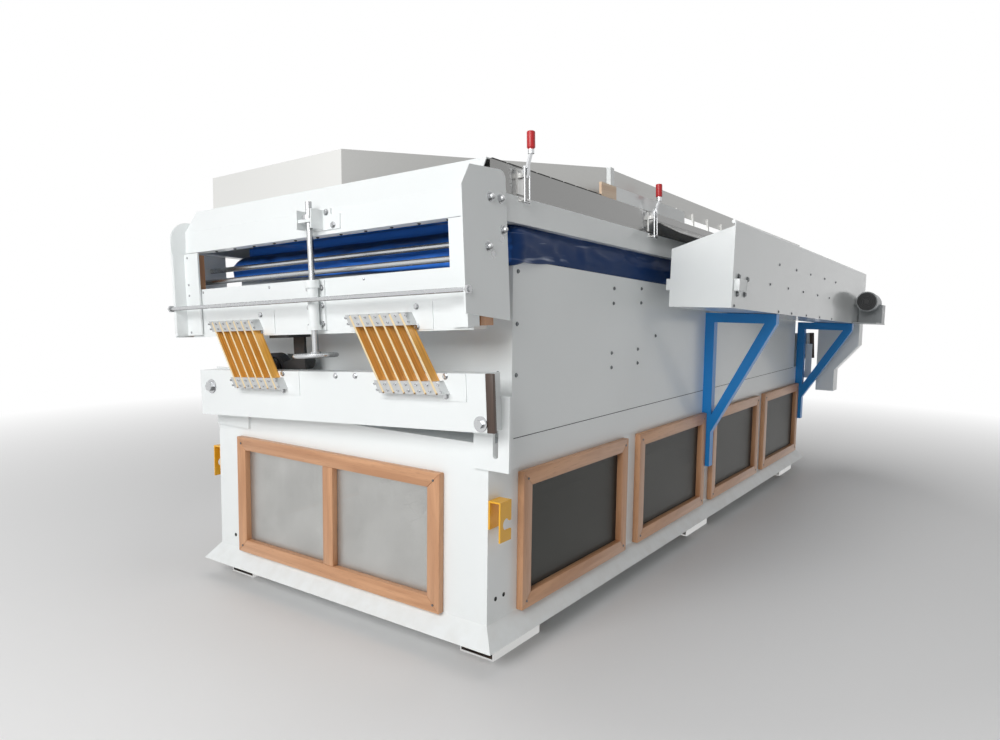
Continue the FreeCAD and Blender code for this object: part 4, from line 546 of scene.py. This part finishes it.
def change(piece, test, operator, *steps, kind="FACE"):
    """Runs a mesh operator, once for each step's settings, on what passes the test."""
    only(piece)
    mesh = piece.data
    for items in (mesh.vertices, mesh.edges, mesh.polygons):
        items.foreach_set("select", [False] * len(items))
    for item in mesh.polygons if kind == "FACE" else mesh.edges:
        item.select = test(item)
    bpy.context.tool_settings.mesh_select_mode = (False, kind == "EDGE", kind == "FACE")
    bpy.ops.object.mode_set(mode="EDIT")
    for settings in steps or [{}]:
        getattr(bpy.ops.mesh, operator)(**settings)
    bpy.ops.object.mode_set(mode="OBJECT")


def cut(piece, point, normal):
    """Cuts off what lies beyond a plane and closes the cut."""
    change(piece, lambda face: True, "bisect",
           dict(plane_co=point, plane_no=normal, clear_outer=True, use_fill=True))


def soften(piece, width, segments=2):
    """Rounds the piece's sharp edges and shades it smooth between them."""
    only(piece)
    bevel = piece.modifiers.new("edge", "BEVEL")
    bevel.width = width
    bevel.segments = segments
    bevel.limit_method = "ANGLE"
    bevel.angle_limit = math.radians(40)
    bpy.ops.object.modifier_apply(modifier=bevel.name)
    bpy.ops.object.shade_smooth_by_angle(angle=math.radians(35))
    return piece


def joined(pieces, name):
    """Several pieces as one, named."""
    only(pieces[0])
    for piece in pieces:
        piece.select_set(True)
    if len(pieces) > 1:
        bpy.ops.object.join()
    pieces[0].name = name
    return pieces[0]


def dress(piece, finish, body=None):
    """Gives a piece its finish and slot and sets it on a body."""
    piece.data.materials.clear()
    piece.data.materials.append(Finish.made[finish].material)
    if body:
        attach(piece, body)
    return piece


def copies(model, name, places):
    """The model copied to every place, each copy with its own mesh, as one piece."""
    made = []
    for place in places:
        copy = bpy.data.objects.new(name, model.data.copy())
        copy.data.transform(place)
        bpy.context.scene.collection.objects.link(copy)
        made.append(copy)
    return joined(made, name)


def remove(piece):
    bpy.data.objects.remove(piece)


def facing(frame_matrix, point, normal):
    """Place at a point of a frame, in millimetres there, whose z is the normal."""
    turn = Vector(normal).to_track_quat("Z", "Y").to_matrix().to_4x4()
    return frame_matrix @ Matrix.Translation(Vector(point) * MM) @ turn


def on_end(frame_matrix, side, x, *at):
    """Place on a face that looks along x: side -1 is the near end, 1 the far one."""
    return facing(frame_matrix, (side * x / MM, *at), (side, 0, 0))


def on_side(frame_matrix, y, x, z):
    """Place on a face at y that looks away from the middle."""
    return facing(frame_matrix, (x, y / MM, z), (0, math.copysign(1, y), 0))


def upright(radius, height, vertices, foot=0.0):
    """A cylinder that stands on the height of its foot."""
    return primitive("cylinder", vertices=vertices, radius=radius, depth=height,
                     location=(0, 0, foot + height / 2))


def chamfer_top(piece, width, segments=1):
    change(piece, lambda face: face.normal.z > 0.95, "bevel",
           dict(offset=width, segments=segments, affect="EDGES"))


def inset_top(piece, *steps):
    """Insets the top face step by step, each a width and a height."""
    change(piece, lambda face: face.normal.z > 0.95, "inset",
           *(dict(thickness=width, depth=height) for width, height in steps))


def shaded(piece, degrees=35):
    """The active piece, shaded smooth between its sharp edges."""
    bpy.ops.object.shade_smooth_by_angle(angle=math.radians(degrees))
    return piece


def bolt_model(radius):
    """Hexagon head, chamfered on top, on a washer; it stands on z = 0."""
    thick = radius * 0.32
    head = upright(radius * 1.75, radius * 1.15, 6, thick)
    chamfer_top(head, radius * 0.22)
    inset_top(head, (radius * 0.35, -radius * 0.1))
    ring = upright(radius * 2.3, thick, 18)
    chamfer_top(ring, thick * 0.3)
    return shaded(joined([head, ring], "bolt_model"), 30)


def screw_model(radius):
    """Low round head, a little sunk in the middle."""
    head = upright(radius, radius * 0.7, 14)
    chamfer_top(head, radius * 0.4, 2)
    inset_top(head, (radius * 0.18, -radius * 0.2))
    return shaded(head)


def socket_screw_model(radius):
    """Cylinder head with a socket sunk in it."""
    head = upright(radius, radius * 0.9, 16)
    inset_top(head, (radius * 0.45, 0), (radius * 0.02, -radius * 0.6))
    return shaded(head)


def cap_nut_model(radius):
    """Domed nut on a washer."""
    height = radius * 1.2
    nut = upright(radius * 1.7, height, 6)
    dome = primitive("uv_sphere", segments=14, ring_count=8, radius=radius * 1.35,
                     location=(0, 0, height * 0.9))
    change(dome, lambda face: face.center.z < height * 0.7, "delete", dict(type="FACE"))
    change(dome, lambda edge: all(dome.data.vertices[v].co.z < height * 0.85
                                  for v in edge.vertices), "edge_face_add", kind="EDGE")
    ring = upright(radius * 2.2, radius * 0.3, 18)
    return shaded(joined([nut, dome, ring], "cap_nut_model"))


def board(length, width, thick, edge, shift, mitred=True):
    """One window board along x, its back on y = 0 and its outer edge on z = 0."""
    piece = block((length, thick, width), (0, -thick / 2, width / 2))
    for side in (-1, 1) if mitred else ():
        cut(piece, (side * length / 2, 0, 0), (side, 0, 1))
    soften(piece, edge)
    grain = piece.data.attributes.new("grain", "FLOAT_VECTOR", "POINT")
    grain.data.foreach_set("vector", [c for v in piece.data.vertices for c in v.co + shift])
    return piece


def window_model(name, width, height, lap, thick, edge, middle, chance):
    """A window frame of four mitred boards, with a middle upright in the wide ones."""
    def shift():
        return Vector((chance.uniform(0, 9), chance.uniform(0, 9), chance.uniform(0, 9)))

    half = width / 2
    boards = []
    turns = [(width, (0, 0, 0), 0), (width, (0, 0, height), 180),
             (height, (-half, 0, height / 2), 90), (height, (half, 0, height / 2), -90)]
    for length, corner, degrees in turns:
        piece = board(length, lap, thick, edge, shift())
        piece.data.transform(Matrix.Translation(corner)
                             @ Matrix.Rotation(math.radians(degrees), 4, "Y"))
        boards.append(piece)
    if middle:
        piece = board(height - 2 * lap, lap, thick, edge, shift(), mitred=False)
        piece.data.transform(Matrix.Translation((lap / 2, 0, height / 2))
                             @ Matrix.Rotation(math.radians(-90), 4, "Y"))
        boards.append(piece)
    return joined(boards, name)


def rim_height(x, y):
    """Top of the chest's sloping wall, in metres."""
    return CHEST_TOP - (x + CHEST_X) * CHEST_FALL - (y + CHEST_Y) * CHEST_CROSS_FALL


def deck_height(x, y, level):
    """Height of a level of the deck, measured up from its underside, above a point."""
    origin = DECK @ Vector((0, 0, level))
    normal = (DECK.to_3x3() @ Vector((0, 0, 1))).normalized()
    return origin.z - (normal.x * (x - origin.x) + normal.y * (y - origin.y)) / normal.z


def smooth(low, high, value):
    t = min(max((value - low) / (high - low), 0.0), 1.0)
    return t * t * (3 - 2 * t)


def loop_points(half_x, half_y, corner, step):
    """Points and outward normals round a rectangle with round corners, and the way run."""
    stations = []
    run = 0.0
    straight = [(2 * (half_y - corner), (0, 1)), (2 * (half_x - corner), (-1, 0)),
                (2 * (half_y - corner), (0, -1)), (2 * (half_x - corner), (1, 0))]
    x, y = half_x, -half_y + corner
    for length, (dx, dy) in straight:
        count = max(int(length / step), 1)
        for i in range(count):
            part = length * i / count
            stations.append((x + dx * part, y + dy * part, dy, -dx, run + part))
        x, y, run = x + dx * length, y + dy * length, run + length
        cx, cy = x - dy * corner, y + dx * corner
        bends = max(int(corner * math.pi / 2 / step * 1.5), 4)
        for i in range(bends):
            angle = math.pi / 2 * i / bends
            nx = dy * math.cos(angle) + dx * math.sin(angle)
            ny = -dx * math.cos(angle) + dy * math.sin(angle)
            stations.append((cx + nx * corner, cy + ny * corner, nx, ny, run + corner * angle))
        x, y, run = cx + dx * corner, cy + dy * corner, run + corner * math.pi / 2
    return stations, run


def crease(run, height, seed):
    """Folds of the slack curtain: long slanting waves with a few sharp ridges, about -1 to 1."""
    slant = run + height * 0.35
    wave = noise.noise(Vector((slant * 2.3, height * 1.4, seed)))
    ripple = noise.noise(Vector((slant * 6.5, height * 2.6, seed + 5)))
    ridge = 1 - abs(noise.noise(Vector((slant * 4.1 - height * 1.2, height * 2.2, seed + 9)))) * 3.2
    return wave * 1.1 + ripple * 0.5 + max(ridge, 0.0) * 0.5 - 0.2


def strip_mesh(name, stations, rows, point):
    """Closed band of quads: point(station, row) gives each vertex."""
    verts = [point(station, row) for row in rows for station in stations]
    count = len(stations)
    faces = [(r * count + i, r * count + (i + 1) % count, (r + 1) * count + (i + 1) % count,
              (r + 1) * count + i) for r in range(len(rows) - 1) for i in range(count)]
    mesh = bpy.data.meshes.new(name)
    mesh.from_pydata(verts, [], faces)
    piece = bpy.data.objects.new(name, mesh)
    bpy.context.scene.collection.objects.link(piece)
    return piece


def surface_area(piece):
    return sum(face.area for face in piece.data.polygons)


def thicken(piece, thickness):
    """Gives a sheet its thickness and smooth shading."""
    only(piece)
    solid = piece.modifiers.new("sheet", "SOLIDIFY")
    solid.thickness = thickness
    solid.offset = 0
    bpy.ops.object.modifier_apply(modifier=solid.name)
    bpy.ops.object.shade_smooth()


def curtain(sizes):
    """Slack blue curtain from inside the chest's rim up into the deck's ring."""
    stations, length = loop_points(CHEST_X - CURTAIN_INSET, CHEST_Y - CURTAIN_INSET,
                                   CURTAIN_CORNER, sizes.curtain_step)
    free_rows = 14
    rows = [-1.0, -0.4] + [i / free_rows for i in range(free_rows + 1)] + [1.3, 1.65, 2.0]

    def point(station, row):
        x, y, nx, ny, run = station
        rim, deck = rim_height(x, y), deck_height(x, y, 0)
        free = min(max(row, 0.0), 1.0)
        z = rim + (deck - rim) * free
        if row < 0:
            z = rim + RIM_LAP * row
        if row > 1:
            z = deck + DECK_LAP * (row - 1)
        swell = math.sin(math.pi * free) ** 0.8
        bunched = 1 + 0.6 * smooth(BUNCH_FROM, BUNCH_TO, CHEST_X - abs(x))
        fold = crease(run, free * (deck - rim) * 8, sizes.seed) * bunched
        out = sizes.curtain_bulge * swell * 0.5 + sizes.fold_depth * swell * fold
        out -= CURTAIN_TUCK * smooth(0.55, 1.0, free)
        near = 0.5 * smooth(SLACK_FROM, SLACK_TO, x + CHEST_X) + 0.5 * smooth(0, 1, -nx)
        belly = near * (1 - abs(2 * free ** 0.7 - 1) ** 4)
        out += sizes.end_bulge * belly
        z -= sizes.end_sag * belly * (1 - free)
        return (x + nx * out, y + ny * out, z + swell * 0.004 * fold)

    piece = strip_mesh("curtain", stations, rows, point)
    area = surface_area(piece)
    height = area / length
    thicken(piece, SHEET)
    dress(piece, "blue_cloth")
    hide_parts("cloth_skirt")
    middle = (rim_height(0, 0) + deck_height(0, 0, 0)) / 2
    normal = Vector((CHEST_FALL, BLEND_CROSS_FALL, 1)).normalized()
    start = Vector((0, 0, rim_height(0, 0) + BLEND_START))
    start + normal * (middle - start.z + BLEND_PAST)
    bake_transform(piece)
    return piece


def curtain_band(sizes):
    """Inner band of the same cloth on the deck, behind the curtain's top edge."""
    inset = CURTAIN_INSET + CURTAIN_TUCK + BAND_GAP
    stations, length = loop_points(CHEST_X - inset, CHEST_Y - inset, CURTAIN_CORNER,
                                   sizes.curtain_step * 3)
    raised = math.tan(math.radians(joint("deck_end_raise")["range_deg"][1]))
    hinge = joint("deck_end_raise")["pos_m"][0]

    def point(station, row):
        x, y = station[0], station[1]
        drop = (hinge - x) * raised - DECK_LAP + BAND_LAP
        low = deck_height(x, y, -max(drop, BAND_LEAST))
        high = deck_height(x, y, DECK_LAP + BAND_TOP)
        return (x, y, low + (high - low) * row)

    piece = strip_mesh("curtain_band", stations, [0.0, 0.35, 0.7, 1.0], point)
    area = surface_area(piece)
    thicken(piece, SHEET)
    dress(piece, "blue_cloth", "deck")
    area / length
    return piece


def fit(model, name, body, finish, places):
    return dress(copies(model, name, places), finish, body)


def spun(places, chance):
    """Every place turned about its own z by chance, as fitted bolts are."""
    return [place @ Matrix.Rotation(chance.uniform(0, math.tau), 4, "Z") for place in places]


def bolts_on_chest(sizes, chance):
    """Panel bolts on the long sides and the ends of the chest."""
    corner = [(-1824, 1367), (-1826, 1185), (-1827, 1006)]
    brackets = [(-1094, 1319), (-824, 1322), (-1096, 1256), (-824, 1258), (-655, 1103),
                (-845, 1049), (-1102, 1045), (-1101, 983), (-844, 986)]
    places = [on_side(LEVEL, side * CHEST_Y, *at) for side in (-1, 1) for at in corner + brackets]
    places += [on_end(LEVEL, side, CHEST_X, y, z)
               for side in (-1, 1) for y in (-690, 690) for z in (840, 1010)]
    model = bolt_model(sizes.bolt * 0.7)
    fit(model, "chest_bolts", "base", "dark_zinc", spun(places, chance))
    remove(model)


def seams_and_holes():
    """Dark seams between cabinet and chest, and the plugged holes at the corners."""
    seam = soften(block((2 * CHEST_X - 30 * MM, 0.8 * MM, 2.6 * MM)), 0.2 * MM, 1)
    fit(seam, "panel_seams", "base", "black_hole",
        [Matrix.Translation((0, side * (CHEST_Y + 0.2 * MM), SEAM_HEIGHT)) for side in (-1, 1)])
    remove(seam)
    hole = upright(8 * MM, 1.2 * MM, 20, -0.6 * MM)
    change(hole, lambda face: abs(face.normal.z) > 0.9, "inset",
           dict(thickness=1.6 * MM, depth=-0.4 * MM))
    places = [on_side(LEVEL, -CABINET.y, *at) for at in ((-1935, 230), (-1886, 231))]
    places.append(on_end(LEVEL, -1, CABINET.x, 647, 202))
    fit(hole, "plugged_holes", "base", "black_hole", places)
    remove(hole)


def end_slats():
    """Dark edge strips that close the beams' open ends."""
    slat = block((SLAT_DEPTH, SLAT_WIDTH, BEAM_HEIGHT))
    cut(slat, (0, 0, BEAM_HEIGHT / 2), (0, -SLAT_TOP_SLOPE, 1))
    soften(slat, 1.5 * MM)
    places = [TILT @ Matrix.Translation((side * (BEAM_FRONT - SLAT_DEPTH / 2),
                                         BEAM_END - SLAT_WIDTH / 2, BEAM_LOW + BEAM_HEIGHT / 2))
              for side in (-1, 1)]
    piece = fit(slat, "beam_slats", "tilt_frame", "dark_wood", places)
    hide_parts("beam_end_boards")
    remove(slat)


def bolts_on_frames(sizes, chance):
    """Bolts of beams, spring plates, clamps, strips, side plates and lift bracket."""
    backed = BEAM_FRONT + BACKING_PLATE
    beam = [(-116, 934), (-219, 935)]
    lower_backing = [(181, 940), (181, 873), (-647, 939), (-647, 873)]
    upper_backing = [(298, 1174), (298, 1106), (-532, 1174), (-532, 1106)]
    bracket = [(-72, 1196), (-72, 1128), (-72, 1262), (2, 1261), (2, 1192), (2, 1122)]
    plate = [(603, 1178), (465, 1178), (-226, 1178), (-372, 1178), (682, 1283), (239, 1280),
             (-286, 1282)]
    side_plate = [(-2014, 1576), (-1957, 1576), (-2034, 1416), (-1946, 1475)]
    drops = {-1: 60, 1: 80}

    bolt = bolt_model(sizes.bolt)
    places = [on_end(TILT, -1, BEAM_FRONT, *at) for at in beam]
    places += [on_end(TILT, side, backed, *at) for side in (-1, 1) for at in lower_backing]
    fit(bolt, "beam_bolts", "tilt_frame", "zinc_steel", spun(places, chance))
    places = [on_end(TILT, side, backed, *at) for side in (-1, 1) for at in upper_backing]
    places += [on_end(TILT, -1, 2088 * MM, *at) for at in bracket]
    fit(bolt, "spring_plate_bolts", "shaker_frame", "zinc_steel", spun(places, chance))
    remove(bolt)

    screw = screw_model(sizes.screw)
    places = [on_end(TILT, -1, BEAM_FRONT, *at) for at in plate]
    places += [on_end(TILT, -1, STRIP_FRONT, side * STRIP_MIDDLE / MM, z)
               for side in (-1, 1) for z in (1435, 1319, 1273, 1113)]
    fit(screw, "strip_screws", "shaker_frame", "zinc_steel", spun(places, chance))
    remove(screw)

    nut = cap_nut_model(sizes.bolt * 1.5)
    places = [on_side(TILT, side * SIDE_PLATE_OUT, x, z - drops[side])
              for side in (-1, 1) for x, z in side_plate]
    fit(nut, "side_plate_nuts", "shaker_frame", "zinc_steel", spun(places, chance))
    remove(nut)


def bolts_on_deck(sizes, chance):
    """Screws under the deck's ends and the clevis bolts."""
    screw = screw_model(sizes.screw * 1.2)
    first, count, inset = -660, 11, 27
    places = [facing(DECK, (x, first + (last - first) * i / (count - 1), 0), (0, 0, -1))
              for x, last in ((inset, 610), (DECK_LENGTH / MM - inset, 660))
              for i in range(count)]
    fit(screw, "deck_flange_screws", "deck", "cast_iron_black", spun(places, chance))
    remove(screw)
    bolt = bolt_model(sizes.bolt * 1.1)
    places = [on_end(DECK, -1, 6 * MM, *at) for at in ((-110, 80), (-146, 30))]
    fit(bolt, "clevis_bolts", "deck", "zinc_steel", spun(places, chance))
    remove(bolt)


def clamp_screws(sizes, chance):
    """Two socket screws in each clamp block between the leaves, at both ends."""
    model = socket_screw_model(sizes.screw * 0.9)
    for name, body, height in (("upper_clamp_screws", "shaker_frame", UPPER_CLAMP),
                               ("lower_clamp_screws", "tilt_frame", LOWER_CLAMP)):
        shift = (height - UPPER_CLAMP) * math.tan(LEAF_LEAN)
        places = []
        for centre in PACK_CENTRES:
            for i in range(LEAF_GAPS):
                y = centre + (i - (LEAF_GAPS - 1) / 2) * LEAF_PITCH + shift
                for along in (-12 * MM, 12 * MM):
                    at = (y + along * math.sin(LEAF_LEAN), height + along * math.cos(LEAF_LEAN))
                    places += [on_end(TILT, side, CLAMP_FACE, at[0] / MM, at[1] / MM)
                               for side in (-1, 1)]
        fit(model, name, body, "zinc_steel", spun(places, chance))
    remove(model)


def conveyor_fittings(sizes, chance):
    """Bolt rows and belt tensioners of the trough."""
    rows = {246: (698, 1025, 1333, 1678, 1985), 138: (554, 882, 1192, 1527, 1829),
            10: (34, 725, 976, 1292, 1610, 1935)}
    model = bolt_model(sizes.bolt * 0.62)
    fit(model, "trough_bolts", "base", "dark_zinc",
        spun([on_side(CONVEYOR, TROUGH_OUT, x, z) for z, xs in rows.items() for x in xs], chance))
    remove(model)

    long, thick, tall = 106 * MM, 26 * MM, 52 * MM
    blocks = []
    for side, wall in ((-1, TROUGH_OUT), (1, TROUGH_IN)):
        tension = block((long, thick, tall))
        change(tension, lambda face: face.normal.y * side > 0.9, "inset",
               dict(thickness=8 * MM, depth=-3 * MM))
        soften(tension, 2 * MM)
        tension.data.transform(CONVEYOR @ Matrix.Translation(
            (69 * MM, wall + side * (thick / 2 + 0.2 * MM), 101 * MM)))
        blocks.append(tension)
    dress(joined(blocks, "belt_tensioners"), "white_paint", "base")
    model = bolt_model(sizes.bolt * 1.2)
    fit(model, "tensioner_screws", "base", "dark_zinc",
        spun([on_side(CONVEYOR, TROUGH_OUT, x, z) for x, z in
              ((71, 139), (195, 135), (62, 63), (165, 66))], chance))
    remove(model)


def fan_cover():
    """Ribbed dark cover on the free end of the conveyor's motor."""
    cover = upright(63 * MM, 10 * MM, 32)
    rings = [(6 * MM, 0)]
    for ring in range(8):
        rings += [(1.5 * MM, (3 if ring % 2 else -3) * MM), (4 * MM, 0)]
    inset_top(cover, *rings)
    fit(shaded(cover), "fan_cover", "base", "cast_iron_black",
        [facing(CONVEYOR, MOTOR_END / MM, (-1, 0, 0))])
    remove(cover)


def grips():
    """Red moulded sleeves on the clamp levers."""
    model = upright(14.5 * MM, 58 * MM, 28)
    change(model, lambda face: abs(face.normal.z) > 0.9, "bevel",
           dict(offset=4 * MM, segments=4, affect="EDGES"))
    shaded(model, 40)
    for number, x in enumerate(TOGGLE_PLACES, 1):
        place = DECK @ Matrix.Translation((x, -DECK_HALF - LEVER_OUT, GRIP_FOOT))
        fit(model, "grip_%d" % number, "handle_%d" % number, "red_plastic", [place])
    remove(model)


def screen_shade_strips():
    """Black strips along the conveyor side that stand in for the shade in the gap between tray and mesh (painted
    shade), with gaps.
    """
    long, wide, thick = 80 * MM, 9 * MM, 5 * MM
    pitch = long + 12 * MM
    pieces = []
    for i in range(1, 11):
        strip = soften(block((long, wide, thick)), 1.2 * MM)
        strip.data.transform(DECK @ Matrix.Translation(
            (pitch * i + long / 2, -DECK_HALF + 5.5 * MM, TRAY_TOP + 0.5 * MM + thick / 2)))
        pieces.append(strip)
    # painted shade: black strips where the gap under the screen lies in shadow
    dress(joined(pieces, "screen_gap_shade"), "belt_rubber", "deck")


class SeparatorOperator:
    """What the separator's operators share."""

    bl_options = {"REGISTER"}

    def execute(self, context):
        scene = context.scene
        self.build(scene.separator_sizes, scene.separator_colours, scene.separator_stage)
        return {"FINISHED"}


class FinishFrame(SeparatorOperator, bpy.types.Operator):
    """Give every carried-over piece its finish"""
    bl_idname = "separator.finish_frame"
    bl_label = "Finish the frame"

    def build(self, sizes, colours, stage):
        finishes = make_finishes(colours, sizes)
        for part in frame["record"]["subparts"]:
            name = SPECIAL_FINISH.get(part["node"], part["material_slot"])
            node = frame["nodes"][part["node"]]
            node.data.materials.clear()
            node.data.materials.append(finishes[name].material)
        white = finishes["white_paint"]
        for name in ("lower_spring_clamps", "upper_spring_clamps"):
            repaint(frame["nodes"][name], white,
                    lambda point: abs(point.x) < BEAM_FRONT + BACKING_PLATE + 0.05 * MM)


class WindowFrames(SeparatorOperator, bpy.types.Operator):
    """Build the wooden window frames round the cabinet"""
    bl_idname = "separator.window_frames"
    bl_label = "Window frames"

    def build(self, sizes, colours, stage):
        chance = random.Random(sizes.seed)
        models = {kind: window_model("window_" + kind, width, WINDOW_HEIGHT, sizes.board_width,
                                     WINDOW_THICK, sizes.board_edge, kind == "end", chance)
                  for kind, width in WINDOW_WIDTH.items()}
        places = []
        for i in range(SIDE_WINDOWS):
            centre = SIDE_WINDOW_SHIFT + (i - (SIDE_WINDOWS - 1) / 2) * SIDE_WINDOW_PITCH
            for side, turn in ((-1, 0), (1, math.pi)):
                places.append(("side", (centre, side * CABINET.y, WINDOW_LOW), turn))
        for side in (-1, 1):
            places.append(("end", (side * CABINET.x, END_WINDOW_SHIFT, WINDOW_LOW),
                           side * math.pi / 2))
        inset = sizes.board_width / 2
        screw = screw_model(sizes.screw * 0.9)
        screws = []
        for number, (kind, corner, turn) in enumerate(places, 1):
            place = Matrix.Translation(corner) @ Matrix.Rotation(turn, 4, "Z")
            piece = copies(models[kind], "window_frame_%d" % number, [place])
            dress(piece, "frame_wood", "base")
            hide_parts("filter_frames")
            reach = WINDOW_WIDTH[kind] / 2 - inset
            screws += [place @ on_side(LEVEL, -WINDOW_THICK, x / MM, z / MM)
                       for x in (-reach, reach) for z in (inset, WINDOW_HEIGHT - inset)]
        fit(screw, "window_screws", "base", "dark_zinc", spun(screws, chance))
        for model in [screw, *models.values()]:
            remove(model)


class Curtain(SeparatorOperator, bpy.types.Operator):
    """Hang the blue curtain between chest and deck"""
    bl_idname = "separator.curtain"
    bl_label = "Curtain"

    def build(self, sizes, colours, stage):
        curtain(sizes)
        curtain_band(sizes)


class Fasteners(SeparatorOperator, bpy.types.Operator):
    """Fit bolts, nuts and screws"""
    bl_idname = "separator.fasteners"
    bl_label = "Fasteners"

    def build(self, sizes, colours, stage):
        chance = random.Random(sizes.seed + 1)
        bolts_on_chest(sizes, chance)
        seams_and_holes()
        end_slats()
        bolts_on_frames(sizes, chance)
        bolts_on_deck(sizes, chance)
        clamp_screws(sizes, chance)


class ConveyorFittings(SeparatorOperator, bpy.types.Operator):
    """Fit bolts and tensioners on the conveyor"""
    bl_idname = "separator.conveyor_fittings"
    bl_label = "Conveyor fittings"

    def build(self, sizes, colours, stage):
        conveyor_fittings(sizes, random.Random(sizes.seed + 2))
        fan_cover()


class DeckFittings(SeparatorOperator, bpy.types.Operator):
    """Fit clamp grips and the black strips of painted shade under the screen"""
    bl_idname = "separator.deck_fittings"
    bl_label = "Deck fittings"

    def build(self, sizes, colours, stage):
        grips()
        screen_shade_strips()


def area_lamp(name, power, size, location, target):
    data = bpy.data.lights.new(name, "AREA")
    data.energy = power
    data.shape = "RECTANGLE"
    data.size, data.size_y = size
    lamp = bpy.data.objects.new(name, data)
    lamp.location = location
    lamp.rotation_euler = (Vector(target) - Vector(location)).to_track_quat("-Z", "Y").to_euler()
    bpy.context.scene.collection.objects.link(lamp)


def studio_world(strength):
    """Even light from all round; straight and mirrored looks meet plain white."""
    world = bpy.data.worlds.new("studio")
    world.use_nodes = True
    tree = world.node_tree
    tree.nodes.clear()

    def add(kind, *sockets, **settings):
        made = tree.nodes.new("ShaderNode" + kind)
        for key, value in settings.items():
            setattr(made, key, value)
        for socket, value in zip(made.inputs, sockets):
            if isinstance(value, bpy.types.NodeSocket):
                tree.links.new(value, socket)
            else:
                socket.default_value = value
        return made.outputs

    rays = add("LightPath")
    seen = add("Math", rays["Is Camera Ray"], rays["Is Glossy Ray"], operation="MAXIMUM")
    seen = add("Math", seen[0], rays["Is Transmission Ray"], operation="MAXIMUM")
    sky, white = (add("Background", (1, 1, 1, 1), power)[0] for power in (strength, 1.0))
    add("OutputWorld", add("MixShader", seen[0], sky, white)[0])
    return world


def studio_floor(colour):
    """Pale floor that turns white to the camera far out and white in reflections."""
    floor = primitive("plane", size=60)
    floor.name = "floor"
    surface = Finish("floor", "white_paint", roughness=0.6, base_color=tuple(colour))
    mirrored = surface.node("ShaderNodeLightPath", output="Is Glossy Ray")
    seen = surface.node("ShaderNodeLightPath", output="Is Camera Ray")
    away = surface.node("ShaderNodeVectorMath", {"operation": "LENGTH"}, {0: surface.place},
                        "Value")
    white = mirrored.of("MAXIMUM", seen * surface.between(away, 2.4, 6.5))
    glow = surface.node("ShaderNodeEmission", {}, {"Color": (1, 1, 1), "Strength": 1.0})
    mixed = surface.node("ShaderNodeMixShader", {}, {
        0: white, 1: Value(surface, surface.surface.outputs[0]), 2: glow})
    surface.tree.links.new(mixed.socket, surface.tree.nodes["Material Output"].inputs[0])
    floor.data.materials.append(surface.material)
    return floor


class Stage(SeparatorOperator, bpy.types.Operator):
    """Set floor, light and camera"""
    bl_idname = "separator.stage"
    bl_label = "Stage"

    def build(self, sizes, colours, stage):
        floor = studio_floor(colours.floor)
        area_lamp("key", stage.key, (5, 3), (-7.5, -0.9, 3.8), (-2.0, 0, 0.9))
        area_lamp("fill", stage.fill, (6, 3), (-0.5, -6.5, 3.6), (0, -0.5, 0.9))
        area_lamp("top", stage.top, (7, 4), (0.2, 0.4, 6.0), (0, 0, 0.8))

        scene = bpy.context.scene
        scene.world = studio_world(stage.sky)
        data = bpy.data.cameras.new("camera")
        data.sensor_width = 36
        data.lens = stage.lens
        camera = bpy.data.objects.new("camera", data)
        axes = Matrix((CAMERA_RIGHT, CAMERA_UP, CAMERA_RIGHT.cross(CAMERA_UP))).transposed()
        camera.matrix_world = Matrix.Translation(CAMERA_PLACE) @ axes.to_4x4()
        scene.collection.objects.link(camera)
        scene.camera = camera
        scene.view_settings.view_transform = "Standard"


OPERATORS = (FinishFrame, WindowFrames, Curtain, Fasteners, ConveyorFittings, DeckFittings, Stage)
GROUPS = {"separator_sizes": SeparatorSizes, "separator_colours": SeparatorColours,
          "separator_stage": SeparatorStage}


class SeparatorPanel(bpy.types.Panel):
    """The separator's steps and settings"""
    bl_idname = "VIEW3D_PT_separator"
    bl_label = "Gravity separator"
    bl_space_type = "VIEW_3D"
    bl_region_type = "UI"
    bl_category = "Separator"

    def draw(self, context):
        for operator in OPERATORS:
            self.layout.operator(operator.bl_idname)
        for name, group in GROUPS.items():
            column = self.layout.column()
            for key in group.__annotations__:
                column.prop(getattr(context.scene, name), key)


def register():
    for group in (*GROUPS.values(), *OPERATORS, SeparatorPanel):
        bpy.utils.register_class(group)
    for name, group in GROUPS.items():
        setattr(bpy.types.Scene, name, PointerProperty(type=group))


def unregister():
    for name in GROUPS:
        delattr(bpy.types.Scene, name)
    for group in (SeparatorPanel, *reversed(OPERATORS), *GROUPS.values()):
        bpy.utils.unregister_class(group)


def main():
    register()
    for operator in OPERATORS:
        step = operator.bl_idname.split(".")[1]
        getattr(bpy.ops.separator, step)()


if __name__ == "__main__":
    main()
